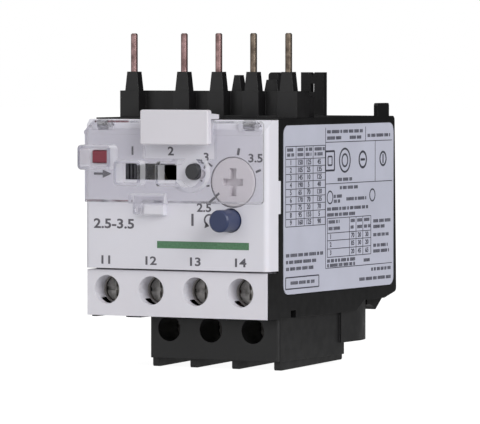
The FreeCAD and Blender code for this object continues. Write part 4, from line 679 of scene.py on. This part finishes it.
@dataclass
class LabelPrint:
    """Ruled tables and plain figures of the side label; lines of words are rows of plain blocks.

    Places on the label are shares of its width, from the left, and of its height, from the top. Weights,
    radii and reaches are in millimetres.
    """

    ink: bpy.types.Material
    rule: float = 0.16
    heavy: float = 0.26
    line_height: float = 0.72
    word_blocks: tuple[int, int] = (2, 7)
    block_widths: tuple[float, float] = (0.26, 0.46)
    block_gap: float = 0.15
    word_gap: float = 0.42
    least_room: float = 0.5
    seed: int = 11
    left_columns: tuple[float, ...] = (0.016, 0.107, 0.179, 0.258, 0.367)
    left_rows: int = 9
    middle_columns: tuple[float, ...] = (0.386, 0.587, 0.648, 0.711, 0.786)
    rings: tuple[tuple[float, float, float, float], ...] = (
        (0.545, 0.22, 2.55, 0.42), (0.545, 0.22, 1.35, 0.42), (0.71, 0.22, 1.75, 0.5),
        (0.41, 0.44, 1.35, 0.3), (0.8, 0.44, 1.3, 0.34), (0.9, 0.22, 1.5, 0.46))
    squares: tuple[tuple[float, float], ...] = ((2.1, 0.42), (0.95, 0.36))
    words: tuple[tuple[float, float, float], ...] = (
        (0.385, 0.715, 0.045), (0.385, 0.52, 0.083), (0.59, 0.7, 0.083), (0.755, 0.975, 0.075),
        (0.48, 0.62, 0.335), (0.5, 0.67, 0.385), (0.445, 0.52, 0.435), (0.445, 0.5, 0.465),
        (0.56, 0.75, 0.455), (0.385, 0.76, 0.51), (0.385, 0.64, 0.545), (0.81, 0.975, 0.6),
        (0.81, 0.92, 0.635), (0.81, 0.97, 0.685), (0.81, 0.95, 0.75), (0.81, 0.96, 0.785),
        (0.385, 0.65, 0.822), (0.385, 0.64, 0.85), (0.72, 0.78, 0.835), (0.02, 0.35, 0.77),
        (0.02, 0.3, 0.81), (0.02, 0.27, 0.85), (0.06, 0.28, 0.934), (0.79, 0.975, 0.895), (0.68, 0.98, 0.95))
    width: float = field(init=False)
    height: float = field(init=False)
    draw: FlatPrint = field(init=False)
    rng: random.Random = field(init=False)

    def build(self) -> None:
        """Make the label's print."""
        low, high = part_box("side_label")
        zero = Vector((high.x, low.y, low.z))
        self.width, self.height = (high.y - low.y) / MM, (high.z - low.z) / MM
        self.draw = FlatPrint("label_print", Face.SIDE, zero, self.ink)
        self.rng = random.Random(self.seed)
        self.fields()
        self.left_table()
        self.middle_table()
        self.symbols()
        for left, right, down in self.words:
            self.blocks(left, right, down)
        self.draw.lay()

    def spot(self, along: float, down: float) -> tuple[float, float]:
        """Return the place, in millimetres, of a share of the width and a share of the height."""
        return along * self.width, (1 - down) * self.height

    def number(self, text: str, along: float, down: float, size: float) -> None:
        """Write figures with their middle at a place.

        Args:
            text: the figures.
            along: share of the width.
            down: share of the height.
            size: height of a figure.
        """
        self.draw.figures(text, *self.spot(along, down), size, 1.1)

    def across(self, left: float, right: float, down: float, weight: float) -> None:
        """Draw a level rule between two shares of the width, at a share of the height."""
        self.draw.bar(left * self.width, (1 - down) * self.height - weight / 2, (right - left) * self.width,
                      weight)

    def upright(self, along: float, top: float, foot: float, weight: float) -> None:
        """Draw an upright rule between two shares of the height, at a share of the width."""
        self.draw.bar(along * self.width - weight / 2, (1 - foot) * self.height, weight,
                      (foot - top) * self.height)

    def blocks(self, left: float, right: float, down: float) -> None:
        """Draw a row of small plain blocks in the place of a line of words.

        Args:
            left: share of the width where the row starts.
            right: share of the width where it ends.
            down: share of the height of the row's middle.
        """
        x, end = left * self.width, right * self.width
        foot = (1 - down) * self.height - self.line_height / 2
        while x < end - self.least_room:
            for _ in range(self.rng.randint(*self.word_blocks)):
                width = self.rng.uniform(*self.block_widths)
                if x + width > end:
                    break
                self.draw.bar(x, foot, width, self.line_height)
                x += width + self.block_gap
            x += self.word_gap

    def fields(self) -> None:
        """Draw the long rules that part the label's fields, and the frame in its lower left corner."""
        middle, right, top = 0.37, 0.984, 0.02
        header, symbols, footer = 0.108, 0.358, 0.865
        for down in (header, symbols, footer):
            self.across(middle, right, down, self.rule)
        self.upright(middle, top, footer, self.rule)
        self.upright(0.736, top, header, self.rule)
        self.upright(0.826, header, symbols, self.rule)
        frame_left, frame_right, frame_top, frame_foot = 0.016, 0.31, 0.9, 0.968
        for down in (frame_top, frame_foot):
            self.across(frame_left, frame_right, down, self.heavy)
        for along in (frame_left, frame_right):
            self.upright(along, frame_top, frame_foot, self.heavy)

    def left_table(self) -> None:
        """Draw the left-hand table with its plain numbers."""
        top, head, foot = 0.125, 0.2, 0.6
        step = (foot - head) / self.left_rows
        for along in self.left_columns:
            self.upright(along, top, foot, self.rule)
        self.across(self.left_columns[0], self.left_columns[-1], top, self.rule)
        for k in range(self.left_rows + 1):
            self.across(self.left_columns[0], self.left_columns[-1], head + k * step, self.rule)
        for left, right in zip(self.left_columns, self.left_columns[1:]):
            for down in (0.145, 0.175):
                self.blocks(left + 0.014, right - 0.006, down)
            for k in range(self.left_rows):
                number = str(k + 1) if left == self.left_columns[0] else str(self.rng.randint(1, 39) * 5)
                self.number(number, (left + right) / 2, head + (k + 0.5) * step, 1.05)

    def middle_table(self) -> None:
        """Draw the smaller table in the label's middle."""
        left, right = self.middle_columns[0], self.middle_columns[-1]
        rules = (0.566, 0.655, 0.7, 0.75, 0.8)
        for along in self.middle_columns:
            self.upright(along, rules[0], rules[-1], self.rule)
        for down in rules:
            self.across(left, right, down, self.rule)
        for start, end in zip(self.middle_columns, self.middle_columns[1:]):
            for down in (0.588, 0.628):
                self.blocks(start + 0.012, min(end - 0.004, start + 0.12), down)
            for k, down in enumerate((0.678, 0.725, 0.775)):
                number = str(k + 1) if start == left else str(self.rng.randint(2, 18) * 5)
                place = start + 0.03 if start == left else (start + end) / 2
                self.number(number, place, down, 1.0)

    def symbols(self) -> None:
        """Draw plain rings and squares in the symbols' fields."""
        for along, down, radius, weight in self.rings:
            self.draw.arc(self.spot(along, down), radius, weight, 0, 360)
        x, y = self.spot(0.41, 0.22)
        for reach, weight in self.squares:
            for dx, dy in ((-reach, -reach), (reach, -reach), (reach, reach), (-reach, reach)):
                self.draw.stroke((x + dx, y + dy), (x - dy, y + dx), weight)
        self.draw.stroke(self.spot(0.69, 0.22), self.spot(0.73, 0.22), 0.5)
        self.draw.stroke(self.spot(0.9, 0.192), self.spot(0.9, 0.248), 0.46)


@dataclass
class HingeFrost:
    """Fine spark-eroded spots on the clear cover, in front of its hinges."""

    ink: bpy.types.Material
    cover_face: float = 1.65
    reach: tuple[float, float] = (1.5, 0.75)
    places: tuple[tuple[float, float], ...] = ((6.8, 31.2), (42.9, 31.2))
    spots: int = 80
    seed: int = 5

    def build(self, zero: Vector) -> None:
        """Make both frosted places as one piece that swings with the cover.

        Args:
            zero: the panel's lower left corner, on its printed face.
        """
        rng = random.Random(self.seed)
        face = zero - Vector((0, self.cover_face * MM, 0))
        frost = FlatPrint("hinge_frost", Face.FRONT, face, self.ink, "cover", 0.01 * MM)
        for x, y in self.places:
            for _ in range(self.spots):
                turn, far = rng.uniform(0, 2 * math.pi), math.sqrt(rng.random())
                size = rng.uniform(0.09, 0.17)
                frost.bar(x + self.reach[0] * far * math.cos(turn), y + self.reach[1] * far * math.sin(turn),
                          size, size)
        frost.lay()


@dataclass
class WellCollars:
    """Tapered collars that carry each screw well on to the head of its screw, in a grey that is painted shade
    of the white well wall.
    """

    finish: bpy.types.Material
    screws: int = 4
    mouth: float = 3.08 * MM
    throat: float = 2.8 * MM
    wall: float = 0.12 * MM
    reach: tuple[float, float] = (-0.67 * MM, 0.2 * MM)
    segments: int = 48

    def build(self) -> None:
        """Make the four collars as one piece of the base."""
        vertices, faces = [], []
        for k in range(self.screws):
            low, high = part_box(f"aux_screw_{k + 1}")
            middle = Vector(((low.x + high.x) / 2, low.y, (low.z + high.z) / 2))
            start = len(vertices)
            section = ((self.reach[0], self.mouth), (self.reach[1], self.throat),
                       (self.reach[1], self.throat + self.wall), (self.reach[0], self.mouth + self.wall))
            for j in range(self.segments):
                turn = 2 * math.pi * j / self.segments
                vertices += [middle + Vector((r * math.cos(turn), y, r * math.sin(turn))) for y, r in section]
            for j in range(self.segments):
                here, there = start + 4 * j, start + 4 * ((j + 1) % self.segments)
                faces += [(here + m, here + (m + 1) % 4, there + (m + 1) % 4, there + m) for m in range(4)]
        mesh = bpy.data.meshes.new("well_collars")
        mesh.from_pydata(vertices, [], faces)
        mesh.validate()
        mesh.polygons.foreach_set("use_smooth", [True] * len(mesh.polygons))
        mesh.materials.append(self.finish)
        piece = bpy.data.objects.new("well_collars", mesh)
        bpy.context.scene.collection.objects.link(piece)
        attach(piece, BASE)
        LOG.info("piece well_collars: %d faces on %s", len(mesh.polygons), BASE)


# ------------------------------------------------------------------------------------------------ the object
@dataclass
class Casework:
    """Gives every carried-over node the finish that its material slot names, and two pins a darker copper
    that is painted shade.
    """

    record: dict
    nodes: dict[str, bpy.types.Object]
    finishes: dict[str, bpy.types.Material]

    def dress(self) -> None:
        """Assign the finishes."""
        for entry in self.record["subparts"]:
            node = entry["node"]
            # Two pins take the darker copper that is painted shade.
            slot = PAINTED_SHADE_PINS.get(node, entry["material_slot"])
            data = self.nodes[node].data
            data.materials.clear()
            data.materials.append(self.finishes[slot])
            LOG.info("node %s: %s", node, slot)


# ------------------------------------------------------------------------------------------------ stage
@dataclass
class Studio:
    """Pale floor, soft lamps and a surround: white to the eye, light ahead and dim behind in reflections."""

    ambient: float = 0.45
    ahead: float = 0.95
    behind: float = 0.02
    spread: float = 0.7
    floor_size: float = 8.0
    floor_glow: float = 0.95
    lamps: tuple[tuple[str, tuple[float, float, float], float, float], ...] = (
        ("key_right", (1.5, -0.75, 0.75), 0.9, 19.0),
        ("front_fill", (-0.5, -1.8, 0.9), 1.2, 3.5),
        ("top_soft", (-0.3, 0.4, 1.7), 1.0, 5.0),
    )

    def build(self, floor_height: float) -> None:
        """Make the surround, the floor and the lamps.

        Args:
            floor_height: height of the floor, in metres.
        """
        self.light_world()
        self.lay_floor(floor_height)
        for name, place, size, power in self.lamps:
            lamp = bpy.data.lights.new(name, "AREA")
            lamp.energy, lamp.size = power, size
            holder = bpy.data.objects.new(name, lamp)
            holder.location = place
            holder.rotation_euler = (-Vector(place)).to_track_quat("-Z", "Y").to_euler()
            bpy.context.scene.collection.objects.link(holder)
            LOG.info("lamp %s: %.1f W", name, power)

    def layers(self, tree: bpy.types.NodeTree, kind: str, direct: bpy.types.NodeSocket, plain: bpy.types.Node,
               way: bpy.types.NodeSocket) -> None:
        """Join what the eye, a reflection and any other ray find on the world or the floor.

        Args:
            tree: the world's or the floor's node tree, which has its output node.
            kind: the kind of shader node that glows, without the words that all node types start with.
            direct: what the eye finds, also through clear pieces.
            plain: the node whose first output every other ray finds.
            way: a direction or a place, whose y parts ahead from behind.
        """
        split, tone = tree.nodes.new("ShaderNodeSeparateXYZ"), tree.nodes.new("ShaderNodeMapRange")
        glow = tree.nodes.new(f"ShaderNode{kind}")
        limits = {"From Min": -self.spread, "From Max": self.spread,
                  "To Min": self.ahead, "To Max": self.behind}
        for name, value in limits.items():
            tone.inputs[name].default_value = value
        tree.links.new(way, split.inputs[0])
        tree.links.new(split.outputs["Y"], tone.inputs["Value"])
        tree.links.new(tone.outputs["Result"], glow.inputs["Strength"])
        glow.inputs["Color"].default_value = (1, 1, 1, 1)
        path = tree.nodes.new("ShaderNodeLightPath")
        found = plain.outputs[0]
        for ray, shader in (("Is Glossy Ray", glow.outputs[0]), ("Is Transmission Ray", direct),
                            ("Is Camera Ray", direct)):
            mix = tree.nodes.new("ShaderNodeMixShader")
            tree.links.new(path.outputs[ray], mix.inputs["Fac"])
            tree.links.new(found, mix.inputs[1])
            tree.links.new(shader, mix.inputs[2])
            found = mix.outputs[0]
        output = next(node for node in tree.nodes if node.bl_idname.startswith("ShaderNodeOutput"))
        tree.links.new(found, output.inputs["Surface"])

    def light_world(self) -> None:
        """Make the world white to the eye and plain grey to everything else."""
        world = bpy.data.worlds.new("surround")
        bpy.context.scene.world = world
        world.use_nodes = True
        tree = world.node_tree
        tree.nodes.clear()
        tree.nodes.new("ShaderNodeOutputWorld")
        plain, shown = tree.nodes.new("ShaderNodeBackground"), tree.nodes.new("ShaderNodeBackground")
        plain.inputs["Strength"].default_value = self.ambient
        for node in (plain, shown):
            node.inputs["Color"].default_value = (1, 1, 1, 1)
        way = tree.nodes.new("ShaderNodeTexCoord").outputs["Generated"]
        self.layers(tree, "Background", shown.outputs[0], plain, way)

    def lay_floor(self, height: float) -> None:
        """Lay a floor that looks white and keeps a soft shadow."""
        half = self.floor_size / 2
        mesh = bpy.data.meshes.new("floor")
        mesh.from_pydata([(-half, -half, 0), (half, -half, 0), (half, half, 0), (-half, half, 0)], [],
                         [(0, 1, 2, 3)])
        floor = bpy.data.objects.new("floor", mesh)
        floor.location.z = height
        bpy.context.scene.collection.objects.link(floor)
        graph = Graph("floor_white")
        plain = graph.add("ShaderNodeBsdfDiffuse", Color=(0.8, 0.8, 0.8, 1))
        thin = graph.add("ShaderNodeBsdfDiffuse", Color=(0.2, 0.2, 0.2, 1))
        glow = graph.add("ShaderNodeEmission", Color=(1, 1, 1, 1), Strength=self.floor_glow)
        both = graph.add("ShaderNodeAddShader")
        graph.link(thin.outputs[0], both.inputs[0])
        graph.link(glow.outputs[0], both.inputs[1])
        self.layers(graph.tree, "Emission", both.outputs[0], plain, graph.place)
        mesh.materials.append(graph.material)
        floor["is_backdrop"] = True


@dataclass
class Viewpoint:
    """A long lens, a little above the pins, that looks at the relay from its front right."""

    azimuth: float = 28.5
    drop: float = 2.01
    lens: float = 337.5
    place: tuple[float, float, float] = (0.4718, -0.8593, 0.00385)

    def build(self) -> None:
        """Make the camera and set it as the scene's own."""
        camera = bpy.data.cameras.new("camera")
        camera.lens, camera.sensor_width = self.lens, 36.0
        camera.clip_start, camera.clip_end = 0.01, 50.0
        holder = bpy.data.objects.new("camera", camera)
        turn, tilt = math.radians(self.azimuth), math.radians(self.drop)
        way = Vector((-math.sin(turn) * math.cos(tilt), math.cos(turn) * math.cos(tilt), -math.sin(tilt)))
        holder.location = self.place
        holder.rotation_euler = way.to_track_quat("-Z", "Y").to_euler()
        bpy.context.scene.collection.objects.link(holder)
        bpy.context.scene.camera = holder
        LOG.info("camera %s", tuple(round(v, 4) for v in self.place))


def corners(box: Iterable[Sequence[float]]) -> list[list[float]]:
    """Return a box's two corners as plain lists."""
    return [[float(v) for v in corner] for corner in box]


def main() -> None:
    """Build the dressed relay."""
    logging.basicConfig(level=logging.INFO, format="%(name)s: %(message)s")
    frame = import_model()
    cad_box = corners(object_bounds())
    finishes = {slot: finish.build() for slot, finish in FINISHES.items()}
    Casework(frame["record"], frame["nodes"], finishes).dress()
    grey = Ink("grey_ink", (0.09, 0.085, 0.1)).build()
    green = Ink("green_ink", (0.07, 0.17, 0.09)).build()
    dark = Ink("label_ink", (0.035, 0.035, 0.05)).build()
    panel = PanelPrint(grey, green)
    panel.build()
    HingeFrost(grey).build(panel.zero())
    LabelPrint(dark).build()
    WellCollars(COLLAR.build()).build()
    Studio().build(cad_box[0][2])
    Viewpoint().build()
    bpy.context.scene.view_settings.view_transform = "Standard"


if __name__ == "__main__":
    main()
